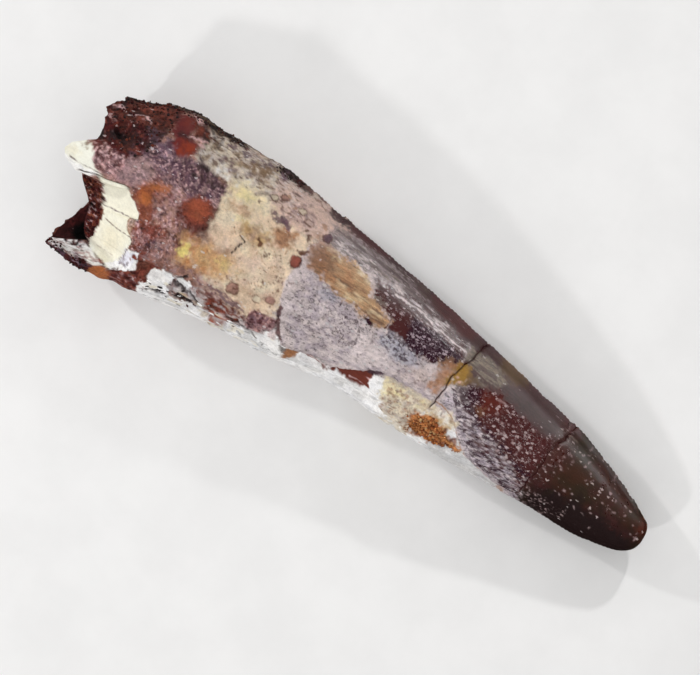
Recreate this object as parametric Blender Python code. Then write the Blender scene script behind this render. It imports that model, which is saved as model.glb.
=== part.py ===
"""A fossil spinosaurus tooth that lies on its side: one solid, crown and broken root grown as one.

+X runs from the broken root to the tip of the crown, +Z is up, and Z = 0 is what the tooth rests on.
Around the tooth an angle of 0 degrees is the +Y edge, 90 the top, 180 the -Y edge and 270 the rest side.
The tooth is a loft between unlike sections. It runs from the blind end of the pulp cavity out along the
cavity wall, over the broken rim, and along the outer skin to the tip.
"""
import bpy
import numpy as np

MM = 0.001

# Driving dimensions, in millimetres
TIP_X = 57.2              # the point of the crown
ROOT_X = -52.6            # the mean break of the root
STRAIGHT_X = -30.0        # past here the rows no longer follow the ragged break
REST_CUT = 0.35           # how much is worn off the rest side, so that it lies flat
CAVITY_END_X = -35.0      # the blind end of the pulp cavity
CAVITY_MID = (-1.6, 9.4)  # y and z of the middle of the cavity's mouth
CAVITY_HALF = (12.6, 5.6)  # half the width and half the height of the mouth
CAVITY_MOUTH_X = -52.8    # where it is that wide
BREAK_SLANT = 0.22        # a glued break leans this far in X for each millimetre in Y
BREAKS_X = (16.1, 36.3)   # where the two glued breaks cross the middle line
BREAK_WIDTH = 0.5
BREAK_DEPTH = 0.4
ENAMEL_X = -13.5          # the margin of the enamel
ENAMEL_STEP = 0.35
KEEL_HEIGHT = 0.7         # how far a cutting edge stands out of the oval section
KEEL_ARC = 9.0            # its half width, in degrees
FLUTES = 34               # fine ridges around the crown
FLUTE_HEIGHT = 0.06
CRUST_HEIGHT = 0.55       # lumps of the crust on the root
CROWN_ROUGHNESS = 0.12    # the same on the crown
CAVITY_ROUGHNESS = 0.35   # the same in the pulp cavity
ROOT_SKIN_X = -18.0       # where the crust gives way to smooth skin

# Sections: x, the +Y edge, the -Y edge, the lowest and the highest point
SECTIONS = np.array([
    (-58.0, 11.4, -14.4, 0.3, 20.6),
    (-52.0, 12.9, -15.2, 0.0, 21.3),
    (-48.0, 14.1, -15.8, 0.0, 21.7),
    (-43.5, 15.7, -15.8, 0.0, 22.0),
    (-38.0, 15.8, -14.8, 0.0, 22.0),
    (-30.0, 15.2, -13.6, 0.0, 21.6),
    (-21.0, 14.2, -12.9, 0.0, 20.9),
    (-10.0, 11.9, -12.2, 0.0, 19.9),
    (-2.0, 10.4, -11.3, 0.0, 19.0),
    (10.0, 8.1, -12.3, 0.0, 17.2),
    (24.0, 4.9, -12.8, 0.0, 15.0),
    (36.0, 2.0, -12.3, 0.1, 12.7),
    (46.0, -1.3, -12.4, 0.9, 10.6),
    (52.0, -4.0, -11.9, 1.8, 9.2),
    (55.3, -5.3, -11.1, 2.9, 8.0),
    (56.5, -5.9, -10.2, 3.8, 7.2),
    (TIP_X, -8.0, -8.0, 5.4, 5.4),
])

# The broken rim. Each line is one column of the loft: its angle further along the tooth, the angle and x
# of its outer border, and the angle and x of its inner edge on the cavity wall.
RIM = np.array([
    (0, 0, -52.3, 0, -51.3),
    (22, 22, -53.1, 22, -51.8),
    (33, 34, -54.7, 36, -52.6),
    (42, 42, -54.6, 44, -52.6),
    (56, 58, -53.7, 56, -52.4),
    (63, 68, -53.5, 64, -52.5),
    (66, 71.5, -54.8, 68, -52.8),   # the tongue of bare dentine begins
    (70, 77, -56.8, 74, -53.3),
    (74, 83, -57.4, 79, -53.5),
    (78, 89, -56.6, 84, -53.5),
    (82, 94, -54.0, 92, -53.2),     # it ends at a straight split along the tooth
    (90, 91.5, -44.8, 96, -52.6),   # from here the near wall is broken away
    (94, 98.5, -42.5, 101, -51.6),
    (98, 103, -41.4, 106, -50.6),
    (101, 106, -41.2, 110, -50.0),
    (104, 108, -42.0, 112, -49.8),
    (108, 112, -42.0, 117, -49.4),
    (116, 120, -40.8, 124, -49.2),
    (124, 127, -40.0, 131, -48.9),
    (138, 143, -38.4, 149, -47.9),
    (152, 152, -40.2, 158, -47.4),
    (155, 153.5, -42.6, 163, -47.2),
    (164, 156, -50.4, 173, -51.6),  # the side wall still stands past here
    (171, 165, -52.5, 177, -52.3),
    (182, 181, -52.8, 184, -52.5),
    (213, 213, -52.8, 213, -52.4),
    (228, 228, -52.3, 228, -51.8),
    (243, 243, -51.2, 243, -50.8),
    (254, 254, -50.2, 254, -49.6),
    (275, 275, -51.6, 275, -50.4),
    (315, 315, -52.0, 315, -51.0),
    (360, 360, -52.3, 360, -51.3),
])
SPLITS = (86.0, 159.0)    # where the columns fan out along the two splits

# Dents and swellings on the skin: x, angle, half length, half width in degrees, height
RELIEF = (
    (-50.4, 54.0, 1.5, 7.0, -0.8),    # a deep pit
    (-39.5, 50.0, 2.6, 9.0, 0.5),     # smooth beads of crust
    (-38.0, 62.0, 2.2, 7.0, 0.4),
    (-33.0, 95.0, 2.4, 8.0, 0.5),
    (-43.6, 108.0, 1.6, 7.0, 0.4),
    (-34.0, 138.0, 7.0, 5.0, -0.7),   # flakes lost along the -Y edge
    (-22.0, 158.0, 6.0, 6.0, -0.8),
    (-9.0, 150.0, 7.0, 5.0, -0.6),
    (3.0, 160.0, 6.0, 7.0, -0.7),
    (-0.6, 143.0, 6.8, 4.0, -0.4),    # a long lens of bare core
    (17.6, 150.0, 4.6, 13.0, -0.9),   # the pocket that holds sandstone
    (29.0, 168.0, 6.0, 7.0, -0.5),
)

# How finely the loft is divided
COLUMNS = 78
SKIN_ROWS = 47
RIM_ROWS = 4
CAVITY_ROWS = 9


def smooth_curve(x, stations, values):
    """A cubic through the stations, with the slope at each one taken from its neighbours."""
    slopes = np.gradient(values, stations)
    at = np.clip(np.searchsorted(stations, x) - 1, 0, len(stations) - 2)
    span = stations[at + 1] - stations[at]
    t = np.clip((x - stations[at]) / span, 0.0, 1.0)
    start = (1 + 2 * t) * (1 - t) ** 2 * values[at] + t * (1 - t) ** 2 * span * slopes[at]
    end = t ** 2 * (3 - 2 * t) * values[at + 1] + t ** 2 * (t - 1) * span * slopes[at + 1]
    return start + end


def spread(low, high, count, density):
    """Places from low to high that lie closer together where density is high."""
    fine = np.linspace(low, high, 2001)
    total = np.concatenate(([0.0], np.cumsum(density(fine[:-1] + np.diff(fine) / 2))))
    return np.interp(np.linspace(0.0, total[-1], count), total, fine)


def bell(value, middle, width):
    """1 at the middle, and 0 a few widths away."""
    return np.exp(-((value - middle) / width) ** 2)


def step(value, low, high):
    """0 below low, 1 above high, and smooth between."""
    t = np.clip((value - low) / (high - low), 0.0, 1.0)
    return t * t * (3 - 2 * t)


def lumps(points, size, seed):
    """Smooth noise from -1 to 1: random values on a cubic lattice, blended between its corners."""
    cells = 16
    lattice = np.random.default_rng(seed).uniform(-1.0, 1.0, (cells, cells, cells))
    place = points / size
    base = np.floor(place).astype(int)
    t = place - base
    t = t * t * (3 - 2 * t)
    total = 0.0
    for corner in np.ndindex(2, 2, 2):
        share = np.prod(np.where(corner, t, 1 - t), axis=-1)
        x, y, z = np.moveaxis((base + corner) % cells, -1, 0)
        total = total + share * lattice[x, y, z]
    return total


def section(x):
    """Middle y, half width, middle z and half height of the tooth at x. Near the tip they follow the
    square root of the distance from the point, which rounds it."""
    stations = -np.sqrt(TIP_X - SECTIONS[:, 0])
    along = -np.sqrt(np.clip(TIP_X - x, 0.0, None))
    high_y, low_y, low_z, high_z = (smooth_curve(along, stations, SECTIONS[:, i]) for i in range(1, 5))
    low_z = low_z - REST_CUT
    return (high_y + low_y) / 2, (high_y - low_y) / 2, (low_z + high_z) / 2, (high_z - low_z) / 2


def relief(x, angle, points):
    """How far the skin stands out of the plain oval section, in millimetres."""
    root = 1 - step(x, ROOT_SKIN_X - 6, ROOT_SKIN_X + 6)
    fade = step(TIP_X - x, 0.3, 5.0)
    out = CRUST_HEIGHT * root * (0.65 * lumps(points, 4.6, 1) + 0.35 * lumps(points, 2.1, 2))
    out += CROWN_ROUGHNESS * (1 - root) * fade * lumps(points, 5.2, 3)
    keel = bell(angle, 0.0, KEEL_ARC) + bell(angle, 360.0, KEEL_ARC)
    out += KEEL_HEIGHT * fade * step(x, -40, -15) * (keel + 0.6 * bell(angle, 181.0, KEEL_ARC))
    out += FLUTE_HEIGHT * (1 - root) * fade * np.cos(np.radians(angle) * FLUTES)
    margin = ENAMEL_X + 3.0 * np.sin(np.radians(angle) * 3) + 1.2 * np.sin(np.radians(angle) * 7)
    out += ENAMEL_STEP * (step(x, margin - 0.5, margin + 0.5) - step(x, margin + 1.5, margin + 14))
    for middle, turn, half_length, half_arc, height in RELIEF:
        across = (angle - turn) / half_arc
        shape = ((x - middle) / half_length) ** 2 + across ** 2
        out += height * step(1.4 - shape, 0.0, 0.9)
    for place in BREAKS_X:
        lean = BREAK_SLANT * section(x)[1] * np.cos(np.radians(angle))
        out -= BREAK_DEPTH * bell(x - lean, place, BREAK_WIDTH)
    return out


def skin(x, angle):
    """The outer skin at x and angle: the oval section, moved out along its radius by the relief."""
    mid_y, half_y, mid_z, half_z = section(x)
    turn = np.radians(angle)
    plain = np.stack([x, mid_y + half_y * np.cos(turn), mid_z + half_z * np.sin(turn)], axis=-1)
    out = relief(x, angle, plain)
    y = plain[..., 1] + out * np.cos(turn)
    z = plain[..., 2] + out * np.sin(turn)
    return np.stack([x, y, np.clip(z, 0.0, None)], axis=-1)


def rim_place(angle, column):
    """One value of the broken rim for each column of the loft."""
    return np.interp(angle, RIM[:, 0], RIM[:, column])


def cavity(x, angle):
    """The wall of the pulp cavity, which narrows to nothing at its blind end."""
    size = ((CAVITY_END_X - x) / (CAVITY_END_X - CAVITY_MOUTH_X)) ** 0.6
    turn = np.radians(angle)
    wide = CAVITY_HALF[0] * size * (1 + 0.03 * np.sin(turn * 3 + 1))
    high = CAVITY_HALF[1] * size * (1 + 0.06 * np.sin(turn * 5))
    y = CAVITY_MID[0] + wide * np.cos(turn)
    z = CAVITY_MID[1] + high * np.sin(turn)
    return np.stack([x, y, z], axis=-1)


def slanted(x, angle, places):
    """Rows of the crown lean as the glued breaks do; places is where each row crosses the middle."""
    lean = BREAK_SLANT * section(places)[1] * np.cos(np.radians(angle))
    return x + lean * step(places, 2, 12) * (1 - step(places, 40, 52))


def skin_rows(angles):
    """Rows of points along the outer skin, from the rim's outer border to just short of the tip."""
    def density(x):
        breaks = sum(bell(x, place, 1.2) for place in BREAKS_X)
        return 1.0 + 0.8 * bell(x, -50, 12) + 2.2 * breaks + 1.6 * bell(x, TIP_X, 4.0)

    places = spread(ROOT_X, TIP_X - 0.12, SKIN_ROWS, density)[:, None]
    share = np.clip((STRAIGHT_X - places) / (STRAIGHT_X - ROOT_X), 0.0, 1.0)
    x = np.where(share > 0, STRAIGHT_X - (STRAIGHT_X - rim_place(angles, 2)) * share, places)
    turned = angles + (rim_place(angles, 1) - angles) * share ** 4
    return skin(slanted(x, turned, places), turned)


def cavity_rows(angles):
    """Rows of points from near the blind end of the pulp cavity out to its mouth."""
    depth = np.linspace(0.97, 0.0, CAVITY_ROWS)[:, None]
    mouth = rim_place(angles, 4)
    turned = angles + (rim_place(angles, 3) - angles) * (1 - depth) ** 2
    wall = cavity(mouth + (CAVITY_END_X - mouth) * depth, turned)
    rough = np.stack([lumps(wall, 3.0, seed) for seed in (5, 6, 7)], axis=-1)
    return wall + CAVITY_ROUGHNESS * step(depth, 0, 0.1)[..., None] * rough


def rim_rows(inner, outer):
    """The broken face between the cavity's mouth and the outer skin, slightly hollowed."""
    share = (np.arange(1, RIM_ROWS + 1) / (RIM_ROWS + 1))[:, None, None]
    face = inner + (outer - inner) * share
    hollow = 4 * share[..., 0] * (1 - share[..., 0])
    width = np.linalg.norm(outer - inner, axis=-1)
    face[..., 0] += 0.07 * hollow * width
    face[..., 2] -= 0.06 * hollow * width * (outer[..., 2] > CAVITY_MID[1])
    return face


def closed_loft(rows, first, last):
    """Vertices and faces of a loft that is closed by one point at each end."""
    count, columns = rows.shape[:2]
    points = np.concatenate([first[None, :], rows.reshape(-1, 3), last[None, :]])
    here = 1 + np.arange(count * columns).reshape(count, columns)
    after = np.roll(here, -1, axis=1)
    quads = np.stack([here[:-1], after[:-1], after[1:], here[1:]], axis=-1).reshape(-1, 4)
    end = len(points) - 1
    faces = [tuple(quad) for quad in quads.tolist()]
    faces += [(0, b, a) for a, b in zip(here[0].tolist(), after[0].tolist())]
    faces += [(a, b, end) for a, b in zip(here[-1].tolist(), after[-1].tolist())]
    return points, faces


def tooth_points():
    """The whole tooth as a closed loft, from the end of the pulp cavity to the tip of the crown."""
    def density(angle):
        splits = sum(bell(angle, place, 6.0) for place in SPLITS)
        return 1.0 + 0.5 * bell(angle, 120, 55) + 0.7 * splits

    angles = spread(0.0, 360.0, COLUMNS + 1, density)[:-1]
    wall = cavity_rows(angles)
    outer = skin_rows(angles)
    rows = np.concatenate([wall, rim_rows(wall[-1], outer[0]), outer])
    blind_end = np.array([CAVITY_END_X, *CAVITY_MID])
    mid_y, _, mid_z, _ = section(np.array([TIP_X]))
    return closed_loft(rows, blind_end, np.array([TIP_X, mid_y[0], mid_z[0]]))


def fossil_material():
    """Fossil dentine and enamel: warm brown, between matt and satin."""
    material = bpy.data.materials.new("fossil_tooth")
    material.use_nodes = True
    shader = material.node_tree.nodes["Principled BSDF"]
    shader.inputs["Base Color"].default_value = (0.33, 0.18, 0.12, 1.0)
    shader.inputs["Roughness"].default_value = 0.55
    shader.inputs["Metallic"].default_value = 0.0
    return material


def make_tooth():
    """The tooth as one named object in a collection of its own."""
    points, faces = tooth_points()
    mesh = bpy.data.meshes.new("tooth")
    mesh.from_pydata((points * MM).tolist(), [], faces)
    mesh.validate()
    mesh.shade_smooth()
    mesh.materials.append(fossil_material())
    tooth = bpy.data.objects.new("tooth", mesh)
    folder = bpy.data.collections.new("fossil_spinosaurus_tooth")
    bpy.context.scene.collection.children.link(folder)
    folder.objects.link(tooth)
    return tooth


for leftover in list(bpy.data.objects):
    bpy.data.objects.remove(leftover)
make_tooth()
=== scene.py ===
# %% [markdown]
# # A fossil spinosaurus tooth
# The real thing is one long conical tooth, 114 mm from the broken root to the point. It lies on its side.
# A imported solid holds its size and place. This lesson makes the fine surface that goes over it: crust,
# enamel, breaks, grains and colour. A sculptor would work by hand. Here every form is a formula over a grid
# of points, so the surface can be made again, finer or coarser, from a few named sizes.

import bmesh
import bpy
import numpy as np
from mathutils import Matrix, Vector


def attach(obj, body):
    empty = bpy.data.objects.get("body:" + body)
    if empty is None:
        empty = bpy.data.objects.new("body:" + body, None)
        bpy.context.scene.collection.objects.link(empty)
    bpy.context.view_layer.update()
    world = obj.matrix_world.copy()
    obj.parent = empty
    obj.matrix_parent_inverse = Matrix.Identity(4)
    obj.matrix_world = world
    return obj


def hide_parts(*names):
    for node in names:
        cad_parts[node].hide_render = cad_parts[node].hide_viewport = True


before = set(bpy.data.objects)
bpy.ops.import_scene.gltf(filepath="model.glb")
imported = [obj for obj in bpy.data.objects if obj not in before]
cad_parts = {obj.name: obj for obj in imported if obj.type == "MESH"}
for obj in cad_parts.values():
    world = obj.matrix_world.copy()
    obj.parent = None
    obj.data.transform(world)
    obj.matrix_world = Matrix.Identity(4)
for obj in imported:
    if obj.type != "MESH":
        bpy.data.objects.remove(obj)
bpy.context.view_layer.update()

# %% [markdown]
# ## The camera
# The tooth is seen from straight above, with its long axis running down to the right. A long lens from 0.9 m
# away keeps the sides from leaning outwards. A turn about the upright axis sets the slope of the tooth.

# %% Camera
MM = 0.001
CAMERA_HEIGHT = 0.91  # metres above the floor
CAMERA_PLACE = (-0.0016, -0.0035)
CAMERA_TURN = 30.0  # degrees about the upright axis
SENSOR = 36.0
FIELD = 0.1155  # metres that show across, at the tooth's height
TOOTH_LEVEL = 0.01


def make_camera():
    """A camera that looks straight down. Its lens is sensor width times distance over field width."""
    data = bpy.data.cameras.new("camera")
    data.sensor_width = SENSOR
    data.lens = SENSOR * (CAMERA_HEIGHT - TOOTH_LEVEL) / FIELD
    data.clip_start = 0.01
    data.clip_end = 10.0
    camera = bpy.data.objects.new("camera", data)
    camera.matrix_world = Matrix.Translation((*CAMERA_PLACE, CAMERA_HEIGHT))
    camera.matrix_world = camera.matrix_world @ Matrix.Rotation(np.radians(CAMERA_TURN), 4, "Z")
    bpy.context.scene.collection.objects.link(camera)
    bpy.context.scene.camera = camera
    return camera


camera = make_camera()
print("lens", round(camera.data.lens, 1), "mm")

# %% [markdown]
# ## The plain form
# Turned on a lathe the tooth would be round, and sculpted it would lose its sizes, so an oval section is
# carried along its length. Seventeen sections, each with four edges, are enough when a smooth curve runs
# between them. Near the point the curve follows the square root of the distance, which rounds the tip. These
# are the sizes that the solid underneath has, in millimetres.
# +X runs to the tip. Around the tooth 0 degrees is the +Y edge, 90 the top, 180 the -Y edge and 270 the side
# that it rests on.

# %% Sizes of the tooth
TIP_X = 57.2
ROOT_X = -52.6
STRAIGHT_X = -30.0
REST_CUT = 0.35
CAVITY_END_X = -35.0
CAVITY_MID = (-1.6, 9.4)
CAVITY_HALF = (12.6, 5.6)
CAVITY_MOUTH_X = -52.8
KEEL_HEIGHT = 0.7
KEEL_ARC = 9.0
CRUST_HEIGHT = 0.55
CROWN_ROUGHNESS = 0.12
ROOT_SKIN_X = -18.0
BREAK_SLANT = 0.22
ENAMEL_X = -14.0  # the margin of the enamel

# Sections: x, the +Y edge, the -Y edge, the lowest and the highest point
SECTIONS = np.array([
    (-58.0, 11.4, -14.4, 0.3, 20.6),
    (-52.0, 12.9, -15.2, 0.0, 21.3),
    (-48.0, 14.1, -15.8, 0.0, 21.7),
    (-43.5, 15.7, -15.8, 0.0, 22.0),
    (-38.0, 15.8, -14.8, 0.0, 22.0),
    (-30.0, 15.2, -13.6, 0.0, 21.6),
    (-21.0, 14.2, -12.9, 0.0, 20.9),
    (-10.0, 11.9, -12.2, 0.0, 19.9),
    (-2.0, 10.4, -11.3, 0.0, 19.0),
    (10.0, 8.1, -12.3, 0.0, 17.2),
    (24.0, 4.9, -12.8, 0.0, 15.0),
    (36.0, 2.0, -12.3, 0.1, 12.7),
    (46.0, -1.3, -12.4, 0.9, 10.6),
    (52.0, -4.0, -11.9, 1.8, 9.2),
    (55.3, -5.3, -11.1, 2.9, 8.0),
    (56.5, -5.9, -10.2, 3.8, 7.2),
    (TIP_X, -8.0, -8.0, 5.4, 5.4),
])

# The broken rim. Each line is one column: its angle further along the tooth, the angle and x of its outer
# border, and the angle and x of its inner edge on the cavity wall.
RIM = np.array([
    (0, 0, -52.3, 0, -51.3),
    (22, 22, -53.1, 22, -51.8),
    (33, 34, -54.7, 36, -52.6),
    (42, 42, -54.6, 44, -52.6),
    (56, 58, -53.7, 56, -52.4),
    (63, 68, -53.5, 64, -52.5),
    (66, 71.5, -54.8, 68, -52.8),   # the tongue of bare dentine begins
    (70, 77, -56.8, 74, -53.3),
    (74, 83, -57.4, 79, -53.5),
    (78, 89, -56.6, 84, -53.5),
    (82, 94, -54.0, 92, -53.2),     # it ends at a straight split along the tooth
    (90, 91.5, -44.8, 96, -52.6),   # from here the near wall is broken away
    (94, 98.5, -42.5, 101, -51.6),
    (98, 103, -41.4, 106, -50.6),
    (101, 106, -41.2, 110, -50.0),
    (104, 108, -42.0, 112, -49.8),
    (108, 112, -42.0, 117, -49.4),
    (116, 120, -40.8, 124, -49.2),
    (124, 127, -40.0, 131, -48.9),
    (138, 143, -38.4, 149, -47.9),
    (152, 152, -40.2, 158, -47.4),
    (155, 153.5, -42.6, 163, -47.2),
    (164, 156, -50.4, 173, -51.6),  # the side wall still stands past here
    (171, 165, -52.5, 177, -52.3),
    (182, 181, -52.8, 184, -52.5),
    (213, 213, -52.8, 213, -52.4),
    (228, 228, -52.3, 228, -51.8),
    (243, 243, -51.2, 243, -50.8),
    (254, 254, -50.2, 254, -49.6),
    (275, 275, -51.6, 275, -50.4),
    (315, 315, -52.0, 315, -51.0),
    (360, 360, -52.3, 360, -51.3),
])
SPLITS = (86.0, 159.0)  # where the columns fan out along the two splits

# Dents and swellings on the skin: x, angle, half length, half width in degrees, height
RELIEF = (
    (-50.4, 54.0, 1.5, 7.0, -0.8),    # a deep pit
    (-39.5, 50.0, 2.6, 9.0, 0.5),     # smooth beads of crust
    (-38.0, 62.0, 2.2, 7.0, 0.4),
    (-33.0, 95.0, 2.4, 8.0, 0.5),
    (-43.6, 108.0, 1.6, 7.0, 0.4),
    (-34.0, 138.0, 7.0, 5.0, -0.7),   # flakes lost along the -Y edge
    (-22.0, 158.0, 6.0, 6.0, -0.8),
    (-9.0, 150.0, 7.0, 5.0, -0.6),
    (3.0, 160.0, 6.0, 7.0, -0.7),
    (-0.6, 143.0, 6.8, 4.0, -0.4),    # a long lens of bare core
    (17.6, 150.0, 4.6, 13.0, -0.9),   # the pocket that holds sandstone
    (29.0, 168.0, 6.0, 7.0, -0.5),
)

# %% [markdown]
# Four small helpers do most of the shaping: a smooth curve through stations, a bell, a soft step and smooth
# noise. The noise puts random values on a cubic lattice and blends between its corners. It is seeded, so
# every run gives the same stone.

# %% Helpers
def smooth_curve(x, stations, values):
    """A cubic through the stations, with the slope at each one taken from its neighbours."""
    slopes = np.gradient(values, stations)
    at = np.clip(np.searchsorted(stations, x) - 1, 0, len(stations) - 2)
    span = stations[at + 1] - stations[at]
    t = np.clip((x - stations[at]) / span, 0.0, 1.0)
    start = (1 + 2 * t) * (1 - t) ** 2 * values[at] + t * (1 - t) ** 2 * span * slopes[at]
    end = t ** 2 * (3 - 2 * t) * values[at + 1] + t ** 2 * (t - 1) * span * slopes[at + 1]
    return start + end


def spread(low, high, count, density):
    """Places from low to high that lie closer together where density is high."""
    fine = np.linspace(low, high, 4001)
    total = np.concatenate(([0.0], np.cumsum(density(fine[:-1] + np.diff(fine) / 2))))
    return np.interp(np.linspace(0.0, total[-1], count), total, fine)


def bell(value, middle, width):
    """1 at the middle, and 0 a few widths away."""
    return np.exp(-((value - middle) / width) ** 2)


def step(value, low, high):
    """0 below low, 1 above high, and smooth between."""
    t = np.clip((value - low) / (high - low), 0.0, 1.0)
    return t * t * (3 - 2 * t)


def lumps(points, size, seed, cells=16):
    """Smooth noise from -1 to 1: random values on a cubic lattice, blended between its corners."""
    lattice = np.random.default_rng(seed).uniform(-1.0, 1.0, (cells, cells, cells))
    place = points / size
    base = np.floor(place).astype(int)
    t = place - base
    t = t * t * (3 - 2 * t)
    low = base % cells
    high = (base + 1) % cells
    total = 0.0
    for i, j, k in np.ndindex(2, 2, 2):
        share = (t[..., 0] if i else 1 - t[..., 0]) * (t[..., 1] if j else 1 - t[..., 1])
        share = share * (t[..., 2] if k else 1 - t[..., 2])
        corner = lattice[(high if i else low)[..., 0], (high if j else low)[..., 1],
                         (high if k else low)[..., 2]]
        total = total + share * corner
    return total


def section(x):
    """Middle y, half width, middle z and half height of the tooth at x. Near the tip they follow the
    square root of the distance from the point, which rounds it."""
    stations = -np.sqrt(TIP_X - SECTIONS[:, 0])
    along = -np.sqrt(np.clip(TIP_X - x, 0.0, None))
    high_y, low_y, low_z, high_z = (smooth_curve(along, stations, SECTIONS[:, i]) for i in range(1, 5))
    low_z = low_z - REST_CUT
    return (high_y + low_y) / 2, (high_y - low_y) / 2, (low_z + high_z) / 2, (high_z - low_z) / 2


_, width, _, height = 2 * np.array(section(np.zeros(1)))[:, 0]
print("at x = 0 the tooth is", round(width, 1), "mm wide and", round(height, 1), "mm high")

# %% [markdown]
# ## The finishes
# A fossil tooth has no paint, but its minerals fall into a few finishes: cream dentine, rusty crust, lilac
# enamel and so on. Each finish is one row of percentages. It starts with a colour as the eye sees it, in
# steps of 5 as on a mixing card. Five amounts follow: pale grains, dark specks, streaks along the tooth,
# roughness of the gloss, and lumps in the surface. Naming the finishes keeps the colours few, and a mark on
# the tooth only says which finish it is made of.

# %% Finishes
FINISHES = {
    # red, green and blue, then pale grains, dark specks, streaks, roughness and lumps
    "cream_dentine": (95, 95, 90, 0, 0, 3, 50, 2),
    "white_chalk": (95, 95, 95, 0, 6, 20, 80, 25),
    # grey chalk, and painted shade on the pale -Y side of the crown
    "grey_chalk_and_shade": (80, 80, 80, 0, 10, 30, 80, 25),
    "lilac_chalk": (90, 90, 95, 0, 2, 5, 60, 15),
    "pink_flake": (90, 75, 75, 0, 10, 5, 70, 50),
    "pink_crust": (70, 55, 55, 15, 25, 5, 80, 80),
    "dull_crust": (60, 50, 50, 10, 25, 5, 80, 70),
    "brick_crust": (50, 25, 20, 2, 20, 5, 75, 90),
    "rusty_crust": (40, 20, 15, 1, 25, 5, 75, 100),
    "maroon_crust": (30, 10, 10, 2, 25, 5, 75, 100),
    "black_crust": (20, 15, 15, 3, 15, 10, 80, 100),
    "maroon_bead": (40, 15, 15, 0, 3, 0, 50, 15),
    "red_bead": (55, 20, 10, 0, 5, 0, 50, 20),
    "terracotta": (60, 30, 20, 0, 20, 0, 60, 60),
    "orange_ochre": (70, 40, 20, 0, 10, 5, 55, 50),
    "rust_glaze": (55, 30, 20, 0, 12, 10, 55, 50),
    "brown_grain": (60, 45, 40, 15, 25, 0, 80, 90),
    "purple_grey": (40, 30, 35, 18, 25, 10, 80, 80),
    "dark_purple": (30, 20, 25, 10, 15, 10, 80, 80),
    "lilac_fleck": (60, 50, 55, 0, 15, 10, 70, 60),
    "taupe": (75, 70, 65, 5, 18, 10, 75, 60),
    "tan_brown": (65, 50, 40, 4, 10, 10, 75, 50),
    "olive_stain": (50, 40, 30, 4, 15, 10, 75, 60),
    "dark_spot": (35, 20, 15, 0, 5, 0, 70, 30),
    "yellow": (90, 85, 50, 0, 3, 5, 60, 25),
    "pale_yellow": (90, 85, 70, 0, 3, 5, 65, 25),
    "gold": (80, 65, 45, 2, 8, 5, 65, 40),
    "peach": (85, 75, 65, 2, 4, 5, 65, 30),
    "ochre": (70, 55, 30, 3, 10, 10, 65, 30),
    "rust_brown": (65, 45, 30, 5, 20, 5, 65, 50),
    "beige": (85, 80, 70, 3, 8, 5, 65, 40),
    "pink_dentine": (65, 50, 45, 10, 20, 5, 60, 60),
    "lilac_dentine": (80, 70, 65, 5, 12, 10, 60, 40),
    "lilac_enamel": (75, 70, 70, 10, 32, 35, 30, 25),
    "violet_enamel": (60, 55, 60, 20, 30, 35, 30, 30),
    # pale enamel, and the painted highlight along the crown's line of gloss
    "white_enamel_and_highlight": (85, 80, 80, 10, 20, 35, 30, 20),
    "blue_enamel": (65, 65, 70, 20, 30, 25, 30, 25),
    "grey_brown_enamel": (50, 45, 45, 22, 26, 80, 40, 20),
    "golden_fibre": (70, 55, 40, 2, 16, 80, 35, 20),
    "brown_fibre": (50, 35, 25, 2, 14, 60, 35, 20),
    "orange_fibre": (65, 45, 30, 2, 16, 70, 35, 20),
    "red_enamel": (40, 15, 10, 6, 10, 20, 24, 12),
    "maroon_enamel": (30, 15, 15, 38, 10, 20, 26, 15),
    "bare_maroon": (30, 15, 15, 0, 5, 15, 24, 8),
    "purple_enamel": (30, 20, 20, 25, 12, 60, 18, 8),
    "speckled": (20, 10, 15, 42, 5, 10, 24, 15),
    "keel_maroon": (35, 20, 20, 2, 10, 50, 38, 12),
    "keel_brown": (30, 20, 20, 3, 10, 60, 38, 12),
    "olive_brown": (40, 30, 20, 2, 10, 40, 50, 15),
    "olive_yellow": (60, 45, 15, 2, 10, 20, 40, 15),
    # a painted sheen: grey that the enamel mirrors near the +Y edge
    "painted_grey_sheen": (30, 25, 25, 2, 8, 35, 70, 5),
    "scratched_enamel": (75, 70, 75, 30, 50, 90, 30, 30),
    "taupe_enamel": (50, 45, 40, 6, 20, 90, 50, 15),
    "tip_brown": (20, 15, 10, 8, 6, 15, 38, 5),
    "tip_black": (15, 10, 10, 2, 3, 15, 32, 5),
    "tip_red": (35, 15, 10, 0, 5, 5, 28, 5),
    "bare_core": (45, 20, 15, 0, 3, 10, 45, 10),
    "sand_orange": (75, 50, 30, 5, 15, 0, 85, 90),
    "sand_rust": (60, 35, 20, 3, 20, 0, 85, 100),
    "pale_grain": (70, 60, 60, 0, 0, 0, 40, 0),
    "rose_bead": (55, 30, 25, 0, 10, 0, 60, 40),
    # painted shade: near black inside the hollow and in its pit
    "painted_hollow_shade": (5, 5, 5, 0, 10, 0, 80, 100),
    "hollow_rust": (25, 10, 10, 3, 30, 0, 80, 100),
}


def linear(colour):
    """Light values from the colour that the eye sees, by the sRGB curve."""
    return np.where(colour <= 0.04045, colour / 12.92, ((colour + 0.055) / 1.055) ** 2.4)


def finish(name):
    """One finish as eight numbers from 0 to 1, its colour turned into light values."""
    row = np.array(FINISHES[name]) / 100
    row[:3] = linear(row[:3])
    return row


print(len(FINISHES), "finishes")

# %% [markdown]
# ## Marks
# The tooth's colours lie in patches with ragged edges, seen best from above. They could be brushed onto an
# image, but an image is only as fine as its dots, so each patch is a formula. A mark is an oval, an area or
# a line, placed in millimetres on that view. For every point of the surface a mark gives one number: how far
# the point lies inside its outline. A soft step of that depth is the share that the mark covers. Noise moves
# the point before it is measured, and that makes the edge ragged.

# %% Marks
USUAL = {"cover": 1.0, "height": 0.0, "wraps": True, "islands": None, "drawn": 1.0, "seed": 0}


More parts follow.
